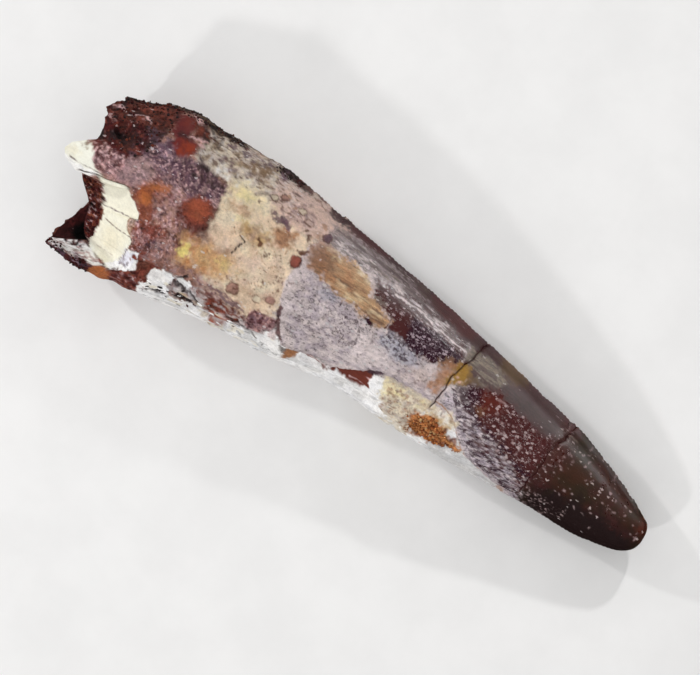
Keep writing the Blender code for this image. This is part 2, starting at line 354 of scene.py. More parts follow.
def mark(kind, name, numbers, **more):
    """A mark of one finish, with the usual settings but for those given. Height lifts or sinks the skin. A
    mark that wraps goes on round the edge of the tooth to the side that it rests on. Islands, a size and a
    level, leave only patches of it."""
    return {"kind": kind, "finish": name, "numbers": numbers, **USUAL, **more}


def oval(name, soft, ragged, x, y, long, wide, turn=0.0, **more):
    """An oval by its middle, its half length and half width, and its turn in degrees. Its border is soft and
    ragged over so many millimetres."""
    return mark("oval", name, (x, y, long, wide, turn), soft=soft, ragged=ragged, **more)


def area(name, soft, ragged, *corners, **more):
    """An area by its corners, x and y in turn. Its border is soft and ragged as that of an oval."""
    return mark("area", name, np.reshape(corners, (-1, 2)), soft=soft, ragged=ragged, **more)


def line(name, width, ragged, *corners, **more):
    """A line of one width through its corners, x and y in turn."""
    more = {"soft": 0.1, "ragged": ragged, "wraps": False, **more}
    return mark("line", name, (width, np.reshape(corners, (-1, 2))), **more)


def islands(name, size, level, soft, *corners, **more):
    """Islands of one finish inside an area. They have a size in millimetres, and a higher level leaves fewer.
    Drawn below 1 makes them longer along the tooth."""
    return area(name, soft, 0.5, *corners, **{"cover": 0.7, "islands": (size, level), **more})


def nearest(x, y, start, end):
    """The distance from each place to the straight piece from start to end."""
    run = end - start
    t = ((x - start[0]) * run[0] + (y - start[1]) * run[1]) / max(run @ run, 1e-9)
    t = np.clip(t, 0.0, 1.0)
    return np.hypot(x - start[0] - t * run[0], y - start[1] - t * run[1])


def depth_inside(item, x, y):
    """How far inside the outline each place lies, in millimetres. It is negative outside."""
    if item["kind"] == "oval":
        mid_x, mid_y, long, wide, turn = item["numbers"]
        c, s = np.cos(np.radians(turn)), np.sin(np.radians(turn))
        u = (x - mid_x) * c + (y - mid_y) * s
        v = (y - mid_y) * c - (x - mid_x) * s
        return (1 - np.hypot(u / long, v / wide)) * min(long, wide)
    if item["kind"] == "line":
        width, corners = item["numbers"]
        pieces = [nearest(x, y, a, b) for a, b in zip(corners[:-1], corners[1:])]
        return width / 2 - np.min(pieces, axis=0)
    corners = item["numbers"]
    after = np.roll(corners, -1, axis=0)
    border = np.min([nearest(x, y, a, b) for a, b in zip(corners, after)], axis=0)
    inside = np.zeros(x.shape, bool)
    for a, b in zip(corners, after):
        crosses = (a[1] > y) != (b[1] > y)
        inside ^= crosses & (x < a[0] + (y - a[1]) * (b[0] - a[0]) / (b[1] - a[1] + 1e-12))
    return np.where(inside, border, -border)


def reach(item):
    """A box round the mark, past which it covers nothing."""
    margin = item["soft"] + item["ragged"]
    if item["kind"] == "oval":
        x, y, long, wide, _ = item["numbers"]
        far = max(long, wide) * (1 + margin / min(long, wide))
        return x - far, x + far, y - far, y + far
    corners = item["numbers"][1] if item["kind"] == "line" else item["numbers"]
    margin += item["numbers"][0] / 2 if item["kind"] == "line" else 0.0
    low, high = corners.min(axis=0) - margin, corners.max(axis=0) + margin
    return low[0], high[0], low[1], high[1]

# %% [markdown]
# Two helpers make several marks at once. A ring is left where a bead of ore broke off: a dark outline round a
# paler core. Spots of one finish are ovals at given places, and sines of the place make them differ.

# %% Rings and spots
def ring(name, x, y, radius, core="beige", wide=None, width=0.2, cover=0.9):
    """A round mark with a darker outline: an oval with a paler oval inside it."""
    wide = wide or radius * 0.9
    return [oval(name, 0.08, 0.25, x, y, radius, wide, height=0.05, cover=cover),
            oval(core, 0.12, 0.25, x + 0.05, y + 0.05, radius - width, wide - width, cover=0.8)]


def spots(name, size, *places, soft=0.12, ragged=0.5, cover=0.8, **more):
    """Small ovals of one finish at given places, x and y in turn, each a little unlike the next."""
    return [oval(name, soft, ragged, x, y, size * (1 + 0.3 * np.sin(7 * x)),
                 size * (0.75 + 0.2 * np.cos(5 * y)), 40 * np.sin(3 * x + y), cover=cover, **more)
            for x, y in np.reshape(places, (-1, 2))]

# %% [markdown]
# ## The marks of the root
# The root is dentine under a rusty crust. The crust broke off in places, which left cream, yellow and peach
# dentine bare, with beads of red iron ore on it. Wide areas come first. Islands of other finishes break them
# up, as minerals do, and small marks go over them.

# %% Root: wide areas
WHOLE_CRUST = (-60, 18, -28, 18, -28, -18, -60, -18)
INNER_CRUST = (-46, 8, -31, 8, -31, 3.6, -34, 3, -34, -8, -40, -9, -46, 0)
ROOT_AREAS = [
    area("brown_grain", 1, 1, *WHOLE_CRUST),
    islands("maroon_crust", 1.1, 0.12, 0.3, *WHOLE_CRUST, cover=0.6),
    area("taupe", 0.7, 1.2, -39, 15.7, -12, 14.5, -12, 8, -30, 9, -38, 8.2),
    area("beige", 0.8, 1.4, -31, 10.5, -14.5, 9, -14.5, -8, -22, -9.6, -27, -7, -31, 0),
    islands("peach", 2, -0.1, 1, -31, 9, -14.6, 8.6, -14.6, -8, -26, -7, -31, 0),
    area("lilac_dentine", 0.9, 1.2, -25, 13.6, -10, 13.5, -11, 8, -20, 7.2, -24, 9),
    area("purple_grey", 0.8, 1.3, -47.6, 9.8, -42, 9.4, -37, 8.8, -31, 7.8, -30.6, 4, -37, 3.6, -42, 3.4,
        -47, 4),
    islands("dark_purple", 1, 0.05, 0.3, -48, 10, -37, 9.4, -31, 8, -31, 4.4, -37, 3.8, -46, 5, cover=0.75,
        drawn=0.7),
    islands("pink_crust", 0.4, 0.4, 0.12, -48, 9.4, -31, 8, -31, 3.6, -46, 3.6),
    islands("lilac_fleck", 0.5, 0.3, 0.2, -47, 10, -41, 10, -40.4, 4.4, -46.6, 3.6),
    islands("dull_crust", 0.55, 0.3, 0.12, -42, 8.8, -30, 8.4, -30, 3.6, -42, 3.6, cover=0.8),
    line("black_crust", 0.16, 0.12, -44.8, 6.5, -43, 6.5, -41.2, 6.4, cover=0.8),
    area("maroon_crust", 0.4, 0.9, -60, 19, -44.6, 19, -43.4, 14.5, -45, 10, -46.4, 3.4, -52, 3, -55, 3.2,
        -60, 9),
    islands("rusty_crust", 1.7, -0.15, 0.5, -56, 18, -43.5, 18, -44.6, 9, -56, 9, cover=0.8),
    islands("brick_crust", 0.9, 0.22, 0.3, -56, 14.6, -46, 14.6, -46, 3.2, -56, 3.2, cover=0.8, height=0.06),
    islands("black_crust", 1.2, 0.15, 0.4, -54, 14.6, -43.6, 14.8, -44.6, 4.6, -54, 4, cover=0.75,
        height=-0.1),
    islands("purple_grey", 1, 0.15, 0.3, -48.4, 10, -45, 10.4, -45, 4, -48, 4.6),
    area("pink_crust", 0.5, 0.9, -54.8, 3.6, -50, 3, -46, 4.4, -43, 3.2, -43.4, 1, -45, -0.3, -50, -0.8, -55,
        -1),
    islands("maroon_crust", 0.9, -0.2, 0.3, -54.6, 4.6, -47.4, 4.2, -48.4, 0, -53, -0.6, cover=0.8,
        height=-0.06),
    islands("purple_grey", 1.2, -0.05, 0.5, -50, 3.6, -43, 4.4, -43.4, 0.6, -50, -0.4, cover=0.65),
    islands("pink_flake", 0.4, 0.22, 0.12, -55, 4, -48, 3.6, -48.4, -0.8, -54.6, -0.8, height=0.06,
        cover=0.8),
    area("dull_crust", 0.9, 0.8, -47.4, 4.2, -44.5, 5.2, -42.6, 3.4, -43.2, 0.6, -47, 0.2, cover=0.8),
    islands("pink_flake", 0.4, 0.75, 0.12, -56, 14, -44, 14, -46, 3, -55, 3, cover=0.6),
    oval("brick_crust", 0.5, 0.8, -46.6, 13.1, 2.4, 0.9, turn=15, cover=0.8),
    islands("pink_flake", 0.45, 0.42, 0.12, -48, 4, -36, 3, -34, -9, -42, -9, -44, 0, cover=0.65),
    area("pink_dentine", 0.6, 1, -40.6, 2.6, -35.8, 3, -34.4, 0, -35, -5, -38.5, -3.6, -40, -1),
    islands("maroon_crust", 0.8, 0.12, 0.25, -41, 3, -35, 3, -34, -5.6, -38.5, -4.4, cover=0.8),
    islands("pink_crust", 0.7, 0.08, 0.25, -41, 3, -34.6, 3, -34, -9, -40, -9, cover=0.8),
    area("rusty_crust", 0.6, 0.9, -42.2, -4.8, -38, -4.6, -35.6, -7.5, -33.6, -9.5, -33.4, -12.6, -41, -16,
        -40.4, -9, cover=0.85),
    islands("brick_crust", 1.3, -0.05, 0.4, -42, -4, -36, -3.6, -33, -9.6, -33.4, -13, -41, -16, cover=0.8),
    islands("pink_crust", 0.7, 0.12, 0.25, -42.4, -4.4, -36, -4.2, -33.6, -8.4, -39.6, -9.4, cover=0.8),
    islands("dark_purple", 0.9, 0.25, 0.3, -38, -5, -33, -5, -27, -9, -31, -10.6, -37, -10),
    islands("rusty_crust", 1.2, 0.1, 0.4, -36, 4.6, -28.6, 3.8, -28, -9, -36, -10, cover=0.65),
    area("pink_dentine", 0.8, 1, -36.5, -4.5, -31, -5, -28.5, -7.4, -27, -8.8, -32, -10.4, -36.5, -9.6,
        cover=0.5),
    islands("dull_crust", 0.6, 0.2, 0.12, -37, -4.4, -27, -6, -27, -9.4, -37, -10, cover=0.8),
    islands("dark_purple", 0.5, 0.3, 0.12, *INNER_CRUST),
    islands("pink_flake", 0.32, 0.4, 0.12, *INNER_CRUST),
]
ROOT_COLOURS = [
    area("pale_yellow", 1.1, 1, -30.4, 9.6, -25, 9.4, -24.6, 6.6, -29.8, 6.4, cover=0.6),
    oval("yellow", 0.9, 0.8, -28.2, 8.2, 1.8, 1, cover=0.35),
    # A bright pale yellow patch: painted highlight on the dentine.
    oval("pale_yellow", 0.5, 0.7, -26.2, 4.4, 1.5, 0.7, turn=10),
    area("rust_brown", 0.8, 0.9, -29.6, 6.4, -26, 6.2, -26.2, 4.9, -29.2, 4.8, cover=0.6),
    area("ochre", 0.9, 0.9, -26, 4.2, -22, 4.6, -20.6, 3.8, -21.8, 1.8, -25.4, 1.9, cover=0.8),
    area("tan_brown", 0.9, 0.7, -29.6, -0.8, -25, -0.6, -24.8, -2.6, -29, -2.8, cover=0.7),
    area("peach", 1.1, 1, -30, 2, -25.8, 1.8, -25.2, -0.8, -29.4, -1, cover=0.8),
    area("gold", 1.1, 1.2, -33.4, -2.2, -27, -2, -23.6, -2.4, -23.8, -5.2, -27.6, -6.8, -32.8, -6.6,
        cover=0.8),
    islands("rust_brown", 0.9, 0.1, 0.4, -33.4, -1.4, -27, -2.4, -26, -7, -33, -7.6, cover=0.55),
    islands("orange_ochre", 1, 0.35, 0.6, -33, -2, -25, -2.4, -26, -6.4, -33, -6.6, cover=0.5),
    islands("lilac_dentine", 1, 0.2, 0.5, -33, 1, -24, 1, -24, -7, -33, -7.6, cover=0.5),
    oval("yellow", 0.5, 0.6, -32.2, -4.8, 1, 0.9, cover=0.75),
    oval("yellow", 0.6, 0.6, -25.4, -3.4, 1.2, 0.6, cover=0.4),
    area("rust_brown", 0.7, 1.1, -20.9, 6.5, -17.6, 6.8, -17, 4, -20.2, 3.4, cover=0.85),
    islands("dark_spot", 0.6, 0.3, 0.25, -26, 5, -17, 6.8, -17, 3.4, -22, 1.8, -26, 2, cover=0.6),
    line("brick_crust", 0.25, 0.4, -20, 6.7, -18.6, 6.6, cover=0.7),
    area("peach", 0.9, 0.8, -22.6, -4.6, -14.8, -5.4, -14.4, -8.6, -22.4, -8.8, cover=0.6),
    area("pink_dentine", 0.8, 1.1, -27, -7, -20, -7.8, -18, -9.4, -24, -9.8, -28, -8.8, cover=0.7),
    islands("purple_grey", 0.6, 0.15, 0.12, -28, -7.4, -19, -8, -18, -9.6, -28, -9.6, drawn=0.6),
    islands("dark_spot", 0.5, 0.35, 0.12, -27, -8, -18, -8.6, -18, -10, -27, -9.8, cover=0.6, drawn=0.6),
    islands("beige", 1.2, 0.1, 0.5, -38, 15, -24, 14.4, -25, 9.4, -38, 9),
    islands("olive_stain", 1.25, 0.24, 0.4, -37.6, 15.2, -23.4, 14.6, -24, 11.4, -37, 9.4, cover=0.75),
    islands("white_chalk", 0.7, 0.3, 0.3, -38, 14.8, -20, 14, -20, 10, -38, 9, cover=0.3),
    islands("dark_spot", 0.45, 0.3, 0.12, -38, 15.2, -20, 14.2, -18, 9, -38, 9.4, cover=0.75, drawn=0.6),
    islands("purple_grey", 0.9, 0.4, 0.3, -36, 15.4, -16, 13.6, -16, 7, -24, 8, -36, 11, cover=0.6),
    islands("white_chalk", 1, 0.15, 0.3, -34, 10.6, -28, 10.4, -29, 8.6, -34, 8.6, cover=0.6),
    islands("lilac_dentine", 1.4, 0.05, 0.7, -24, 4, -14.6, 3, -14.6, -5, -24, -5, cover=0.5),
    islands("tan_brown", 1.8, 0.15, 0.9, -27, 4, -14.6, 4, -14.6, -8.6, -27, -7, cover=0.3),
    islands("tan_brown", 0.4, 0.5, 0.1, -27, 4, -14.4, 4, -14.4, -8.6, -27, -7),
    islands("dark_spot", 0.35, 0.52, 0.08, -20, 2, -14.4, 2, -14.4, -6, -20, -5, cover=0.75),
    area("rust_glaze", 0.5, 0.7, -43.4, 0.6, -40.6, 0.8, -39.8, -1.6, -38.8, -4.4, -41.2, -4.2, -42.4, -2.6,
        -43.9, -1.3, height=0.12, cover=0.9),
    area("orange_ochre", 0.7, 0.7, -43.4, 0.4, -42.4, 2, -41.2, 2.8, -39.2, 3, -39.2, 2, -40.4, 1.4, -40.8,
        0.2, -41.2, -1.4, -42.8, -1.2, height=0.12, cover=0.9),
    islands("brick_crust", 0.9, 0.1, 0.4, -43.4, 1.6, -39.2, 2.4, -38.8, -4.4, -43.6, -1.8, cover=0.5),
    oval("brick_crust", 0.5, 0.8, -38.6, -4.3, 1.7, 1.3, turn=-40, cover=0.8),
    oval("maroon_crust", 1, 0.8, -33.4, 1.4, 2.9, 2.7, cover=0.75),
    oval("brick_crust", 0.8, 0.6, -33.4, 1.6, 2.4, 2.3),
    oval("terracotta", 1, 0.5, -33.4, 2, 1.9, 1.7),
    oval("rust_glaze", 0.7, 0.5, -33, 1.6, 0.8, 0.8, cover=0.5),
]

# %% [markdown]
# The corner by the +Y edge carries most of the iron crust: brick red and maroon, with a deep pit, smooth
# beads and a thin black rind along the edge.

# %% Root: the crusted corner
ROOT_CORNER = [
    area("black_crust", 0.2, 0.6, -56, 10.4, -54.3, 11.6, -52.2, 13.4, -48, 14.7, -45, 16, -41, 17, -36,
        16.9, -30, 16.4, -30, 15.6, -33.2, 15, -36, 14.7, -38.8, 15, -41, 15.2, -44.6, 14.9, -48, 13.9,
        -51.6, 12.9, -53.6, 11.4, -54.6, 10.2, height=0.1),
    islands("olive_stain", 0.7, 0.1, 0.12, -46, 17, -30, 16.6, -30, 15, -46, 14.8, cover=0.5),
    area("black_crust", 0.2, 0.6, -26.2, 15.7, -21, 16.2, -21, 14, -23.4, 14.1, -25.8, 14.4, height=0.1),
    line("black_crust", 0.3, 0.35, -33.4, 15.3, -29, 15.3, -26, 15.1, cover=0.8),
    area("maroon_crust", 0.3, 0.5, -22.2, 14.8, -18.4, 14.2, -18.2, 13.4, -21.8, 13.9, cover=0.85),
    # The pit is painted near black: painted shade in the hole.
    oval("painted_hollow_shade", 0.45, 0.7, -50.5, 6.9, 0.85, 0.7, height=-0.5),
    oval("black_crust", 0.6, 0.7, -50.2, 6.4, 1.4, 1, cover=0.6),
    oval("black_crust", 0.25, 0.5, -53.3, 4.7, 0.6, 0.8),
    line("pink_flake", 0.35, 0.6, -50.2, 10.4, -49, 10.7, -47.4, 10.6, soft=0.2, cover=0.85),
    line("pink_flake", 0.3, 0.5, -54.2, 10.2, -52.6, 10.4, soft=0.2, cover=0.8),
    line("pink_flake", 0.3, 0.5, -53.8, 8.4, -52.6, 8, soft=0.2, cover=0.6),
    oval("maroon_bead", 0.5, 0.5, -42.2, 12.3, 1.8, 2.2, turn=15, height=0.3),
    oval("red_bead", 0.7, 0.5, -42, 13.2, 0.9, 0.8, cover=0.3),
    oval("rusty_crust", 0.35, 0.6, -39.2, 13.4, 1.9, 1, turn=-15, height=0.2),
    oval("red_bead", 0.4, 0.5, -39.4, 13.3, 1, 0.5, turn=-15, cover=0.5),
    oval("maroon_bead", 0.4, 0.5, -40.6, 9.9, 2.1, 1.4, turn=5, height=0.3),
    oval("red_bead", 0.6, 0.4, -40, 9.6, 1.4, 0.9, turn=5),
    oval("black_crust", 0.3, 0.5, -41.8, 11, 0.9, 0.5, turn=-20, cover=0.6),
    oval("pink_flake", 0.2, 0.5, -39, 12.1, 1.1, 0.4, turn=25, height=0.1, cover=0.85),
    oval("pink_flake", 0.2, 0.4, -40.4, 11.6, 0.6, 0.3, turn=20, cover=0.8),
    oval("pink_flake", 0.2, 0.4, -38.5, 11.2, 0.7, 0.3, turn=10, height=0.1, cover=0.7),
    oval("pink_flake", 0.2, 0.5, -40.9, 14.8, 1, 0.35, turn=-10, cover=0.8),
    islands("black_crust", 0.7, 0.1, 0.25, -40, 15.4, -35.6, 15.4, -35.6, 12.4, -38.4, 11.8, -39.4, 14,
        cover=0.8),
    area("dark_purple", 0.6, 1, -37, 8.7, -32, 8.4, -31, 7.4, -31.6, 6.6, -36.4, 6.4, cover=0.4),
    islands("black_crust", 0.6, 0.05, 0.2, -37.4, 9, -32, 8.6, -30.8, 7.4, -31.4, 6.4, -37, 6.2, cover=0.85),
    area("dull_crust", 0.4, 0.5, -45.8, 4.5, -44.4, 4.7, -43, 3.6, -44.4, 2.9, cover=0.8),
]

# %% [markdown]
# At the very end the dentine is bare. A tongue sticks out, a split runs along the tooth beside it, and past
# the split the wall is broken down to a cream face with a few hairline cracks. The face ends at a strip of
# lining, rusty inside the hollow.

# %% Root: the broken end
ROOT_END = [
    area("cream_dentine", 0.2, 0.4, -58.5, 1.6, -56.6, 2.5, -55, 3, -53.6, 2.4, -52.6, 0.8, -51.4, -0.4,
        -49.8, -1, -53, -2.6, -58, -2, wraps=False),
    area("pale_yellow", 0.6, 0.4, -58.5, 0.8, -55.8, 1.2, -54.4, 0.2, -56, -0.6, -58.5, -0.6, cover=0.3,
        wraps=False),
    islands("olive_stain", 0.6, 0, 0.2, -56.4, 3.2, -54, 3.6, -54, 1.8, -55.8, 1.8),
    area("white_chalk", 0.2, 0.3, -57.5, -0.8, -53, -1, -50, -1.1, -52, -2.4, -58, -2.4, cover=0.9,
        wraps=False),
    line("purple_grey", 0.14, 0.12, -56, -0.65, -54.6, -0.85, -53, -0.8, -50, -0.75, cover=0.8),
    line("dark_spot", 0.35, 0.12, -57.6, 1.1, -57.2, 1.4),
    # A dark line along the split below the tongue: a real gap, and painted shadow along its edge.
    line("black_crust", 0.2, 0.12, -54, -2, -52.5, -1.65, -50.8, -1.2, -48.4, -0.93, -46.3, -0.44, -45,
        -0.35, height=-0.15),
    area("cream_dentine", 0.06, 0.15, -50.4, -1.2, -48, -0.85, -46, -0.45, -45, -0.4, -44.1, -1.4, -43, -1.9,
        -42.3, -2.6, -41.4, -3.3, -41, -4.45, -42.5, -4.5, -42.6, -5, -41.9, -6.5, -40.8, -7.2, -40.3, -7.8,
        -40.3, -9.7, -40.6, -11.6, -42, -13.8, -44, -13, -46.3, -12.2, -46.9, -11, -46.7, -9, -46.6, -6.9,
        -47.1, -5.6, -48.2, -4.7, -48.6, -3.2, -49.6, -1.7, wraps=False),
    area("pale_yellow", 0.5, 0.5, -50, -1, -45, -0.4, -41.4, -3.4, -40.4, -8, -40.6, -11.6, -43, -13.2,
        -46.8, -11, -46.6, -7, -48.6, -3.2, cover=0.25, wraps=False),
    oval("pale_yellow", 1, 0.5, -43.6, -8.8, 2, 1.8, cover=0.3, wraps=False),
    area("white_chalk", 0.12, 0.4, -40.3, -9, -38.3, -9, -37.7, -11.4, -39.2, -12.6, -41.2, -13.8, -42.6,
        -13, -41, -11.8, -40.6, -10, wraps=False),
    area("lilac_chalk", 0.4, 0.4, -40.4, -9.4, -38.6, -9.6, -38.2, -11, -39.6, -12, -41, -12, cover=0.8,
        wraps=False),
    oval("brick_crust", 0.15, 0.3, -38.6, -10.1, 0.6, 0.5, wraps=False),
    line("dark_purple", 0.16, 0.12, -40.35, -9, -40.45, -10.4, -40.5, -11.9, cover=0.8),
    islands("dark_purple", 0.45, 0, 0.12, -41, -10.8, -39.2, -10.8, -39.2, -12, -41, -12, wraps=False),
    islands("maroon_crust", 0.6, 0.15, 0.12, -38.8, -12, -36.8, -10.6, -37, -13, -39.4, -13.6, cover=0.8),
    line("purple_grey", 0.12, 0.12, -47.3, -4.85, -45, -4.6, -42.8, -4.5, -41, -4.4, cover=0.9,
        height=-0.05),
    line("dark_spot", 0.13, 0.12, -46.5, -6.45, -44.5, -7, -40.8, -7.3, height=-0.08),
    line("taupe", 0.1, 0.12, -45.4, -11.15, -42.3, -11.25, cover=0.6),
    oval("grey_chalk_and_shade", 0.2, 0.5, -47.9, -4, 0.35, 0.2, cover=0.6, wraps=False),
    line("black_crust", 0.2, 0.12, -47, -11.6, -46.3, -12.2, -43.9, -12.9, -43, -13.3, -41.2, -13.95,
        height=-0.12),
    oval("brick_crust", 0.12, 0.3, -43.4, -13.1, 0.5, 0.25, turn=-20, wraps=False),
    area("white_chalk", 0.15, 0.4, -54, -12.8, -50.6, -12.9, -48.6, -11.8, -46.8, -11.9, -44, -13, -43,
        -13.6, -44, -14.3, -46, -14.4, -52, -14.6, -54, -14.9),
    islands("pink_crust", 0.6, 0.25, 0.12, -52.6, -12.8, -43.4, -13, -44, -14.5, -52, -14.5, drawn=0.6),
    islands("dark_spot", 0.5, 0.3, 0.12, -52, -12.8, -44, -13, -44, -14.6, -52, -14.6, cover=0.75,
        drawn=0.5),
    area("dark_purple", 0.2, 0.5, -53, -14.7, -48, -14.4, -45.4, -14.4, -44.2, -14.4, -44.4, -17, -53, -17),
    islands("maroon_crust", 0.9, 0, 0.3, -52, -14.4, -44, -14.3, -44, -17, -52, -17, cover=1),
    islands("lilac_fleck", 0.6, 0.25, 0.12, -51, -14.4, -46, -14.3, -46, -17, -51, -17, cover=0.8),
    area("orange_ochre", 0.25, 0.5, -44.3, -14.4, -43, -13.9, -41, -14.1, -40.4, -14.4, -41, -16.6, -44.6,
        -17, cover=0.9, wraps=False),
    *spots("rust_glaze", 0.4, -52.6, -2.7, -51.8, -3.2, -51, -2.6, cover=0.7, ragged=0.35),
    area("brick_crust", 0.25, 0.7, -41.2, -14.1, -38, -12.9, -34.8, -12.8, -35, -16, -41, -16.6),
    islands("pink_crust", 0.5, 0.25, 0.12, -41, -13, -34.6, -12, -35, -15, -41, -15.6),
    islands("maroon_crust", 0.7, 0.1, 0.12, -41, -13, -34.6, -12, -35, -15, -41, -15.6, cover=0.8),
]

# %% [markdown]
# Small marks finish the root: dark spots, ring marks where beads of ore broke off, short cracks, and white
# flakes with black gaps between them along the -Y edge.

# %% Root: spots, rings and flakes
ROOT_SPOTS = [
    *spots("olive_stain", 0.9, -32.4, 13.4, -30, 12.5, -27.4, 12.6, -26.6, 13.2, -29, 13, ragged=0.9,
        soft=0.35),
    *spots("purple_grey", 0.6, -27.2, 14.3, -31.4, 14.2, -34, 14.2, -24.2, 14, ragged=0.7, soft=0.25),
    *spots("dark_spot", 0.22, -25.6, 8.4, -22.7, 6.4, -28.2, 2.2, -27, 2.8, -28.6, -3.2, -21.2, 4, -20.4,
        5.4, -18.4, 2.1, -17, -1, -16, -0.6, -15.7, -2.5, -17.3, -2.4, -20.2, 0.8, -24, -5, -21.2, -3.9,
        -25.2, -6.6, -19.6, -9, -18.2, -9.4, -16, -1.2, -19.7, 1.5, -20, 1.1, -18.2, 2.2, -23.6, -1.4, -16.8,
        -2, -18.6, -2.8, -15.9, -5, -14.2, -0.6),
    *spots("dark_spot", 0.75, -15.2, 4.6, cover=0.85, ragged=0.6),
    *spots("dark_spot", 0.5, -22.6, 3, -22, 2.4, -15.3, 4.5, -14.7, 5, -15.5, 7.4, -15.4, 6.9, -16.6, 8.1,
        cover=0.9, ragged=0.4, soft=0.15),
    *spots("purple_grey", 0.6, -20.4, 7.7, -21.4, 7.4, -22.5, 8, -19.6, 7.2, cover=0.85, ragged=0.7,
        soft=0.2),
    *ring("dark_spot", -16.7, 9.4, 1, wide=0.55, core="lilac_dentine"),
    *ring("dark_spot", -12.9, 8.5, 0.95, core="purple_grey"),
    *ring("dark_spot", -23.7, 10.2, 0.7, core="beige"),
    *ring("dark_spot", -22.2, 11.1, 0.9, wide=0.6, core="pink_dentine"),
    *ring("dark_spot", -18.5, 10.5, 0.8, wide=0.55, core="beige", width=0.16),
    *spots("tan_brown", 0.45, -19.9, 10.4, -21.6, 11.6, -14.2, 10.2),
    line("dark_spot", 0.14, 0.12, -25.8, 8.9, -25.5, 8.2, cover=0.6),
    line("maroon_crust", 0.18, 0.3, -18.4, 13.95, -16, 13.3, -14, 12.9, cover=0.8),
    line("maroon_crust", 0.16, 0.3, -18, 13.4, -16, 12.9, -14, 12.4, cover=0.6),
    *ring("dark_spot", -22.25, -6.1, 1.15, core="pink_dentine", cover=0.75),
    islands("dark_spot", 0.4, 0.2, 0.12, -23.4, -5, -21.2, -5, -21.2, -7.2, -23.4, -7.2),
    *ring("dark_spot", -18, -5.75, 0.8, core="beige", width=0.16, cover=0.7),
    *ring("dark_spot", -16, -4.8, 0.95, wide=0.7, core="pink_dentine", cover=0.75),
    oval("bare_maroon", 0.15, 0.2, -15.4, 2.75, 0.95, 1.15),
    oval("rose_bead", 0.25, 0.2, -15.5, 2.85, 0.75, 0.95, turn=10, cover=0.9, height=0.2),
    line("black_crust", 0.22, 0.12, -24.9, 1.7, -24.2, 1.5, -24.5, 0.8, -24.9, -0.1, -25.2, -1.2,
        height=-0.12),
    line("dark_spot", 0.16, 0.12, -25.6, 2, -24.9, 1.7, cover=0.7),
    area("pink_crust", 0.25, 0.5, -17.8, -7.6, -16.6, -7.2, -15.4, -7.5, -13.6, -7.3, -13, -8.4, -14.2, -9.2,
        -15.6, -10.6, -17.4, -10.4, -17.9, -9.2),
    islands("purple_grey", 0.6, -0.1, 0.2, -17.6, -7.6, -13.4, -7.6, -14.2, -9.4, -17.4, -10.4, cover=0.8),
    islands("maroon_crust", 0.5, 0.15, 0.2, -17.6, -7.6, -13.4, -7.6, -14.2, -9.4, -17.4, -10.4, cover=0.8),
    line("maroon_crust", 0.22, 0.3, -17.9, -9.9, -17.7, -8.4, -17, -7.3, -15.6, -7.5, -14, -7.2, -13.1, -8,
        -13.6, -8.9, -14.6, -9.6, -15.8, -10.6, -17.4, -10.5, cover=0.7, soft=0.15),
    area("pink_crust", 0.25, 0.4, -13.6, -9, -12.4, -8.8, -11.8, -10.2, -13.2, -10.4, cover=0.5),
    area("rusty_crust", 0.35, 0.7, -27.2, -9.2, -22, -9, -18.4, -9.8, -19, -10.8, -24, -11.4, -27, -10.8),
    islands("brick_crust", 0.9, -0.1, 0.3, -27, -9.2, -19, -9.8, -20, -11, -26.6, -11, cover=0.8),
    area("terracotta", 0.3, 0.5, -23.8, -10.9, -21, -10.7, -19.8, -11, -21.4, -13, -23.2, -13, height=0.1),
    area("white_chalk", 0.15, 0.5, -35.4, -10.9, -33.4, -10, -31.4, -10.2, -30.8, -12.4, -34.6, -12.8),
    area("white_chalk", 0.15, 0.4, -30.8, -9.4, -29, -8.8, -28.2, -9.4, -28.6, -10.4, -30.6, -10.6),
    area("white_chalk", 0.15, 0.5, -36, -12.4, -30, -12.2, -25.6, -12.1, -23.6, -12.8, -20.6, -12.7, -18,
        -10.9, -12, -10.5, -10.6, -11.4, -10.4, -18, -36, -18),
    islands("grey_chalk_and_shade", 0.8, 0.05, 0.25, -35, -10, -30, -9, -12, -10.8, -12, -14, -35, -14, drawn=0.4),
    islands("pale_yellow", 0.8, 0.3, 0.12, -35, -10.6, -12, -10.6, -12, -13, -35, -13, cover=0.4, drawn=0.5),
    *spots("rusty_crust", 0.5, -34.9, -13.2, -31, -11.2, -26.6, -11.4, cover=0.5, ragged=0.6),
    line("black_crust", 0.4, 0.4, -34.4, -13, -33.4, -12.7, -31.8, -12.5, height=-0.25),
    line("black_crust", 0.4, 0.4, -30.8, -9.9, -30.2, -9, -29.8, -8.4, height=-0.2),
    line("black_crust", 0.35, 0.4, -31, -10.6, -29.4, -10.6, -27.6, -10.5, -26.2, -10.9, height=-0.25,
        cover=0.85),
    line("black_crust", 0.55, 0.5, -29.6, -11.8, -28.4, -11.6, -27.2, -11.7, height=-0.3),
    line("black_crust", 0.3, 0.4, -27.4, -11.8, -26.2, -12, height=-0.2),
    line("black_crust", 0.18, 0.12, -21, -10.6, -19, -10.6, -17.2, -10.7, -15.6, -11.2, -13.6, -11.8,
        height=-0.15, cover=0.85),
]

# %% [markdown]
# ## The marks of the crown
# Enamel covers the crown. Near the root it is bleached to lilac grey, and towards the tip it stays dark
# maroon. A golden fibrous band runs between the two. The enamel stands a little proud of the core, so its
# area also lifts the skin, and its border makes a fine ledge.

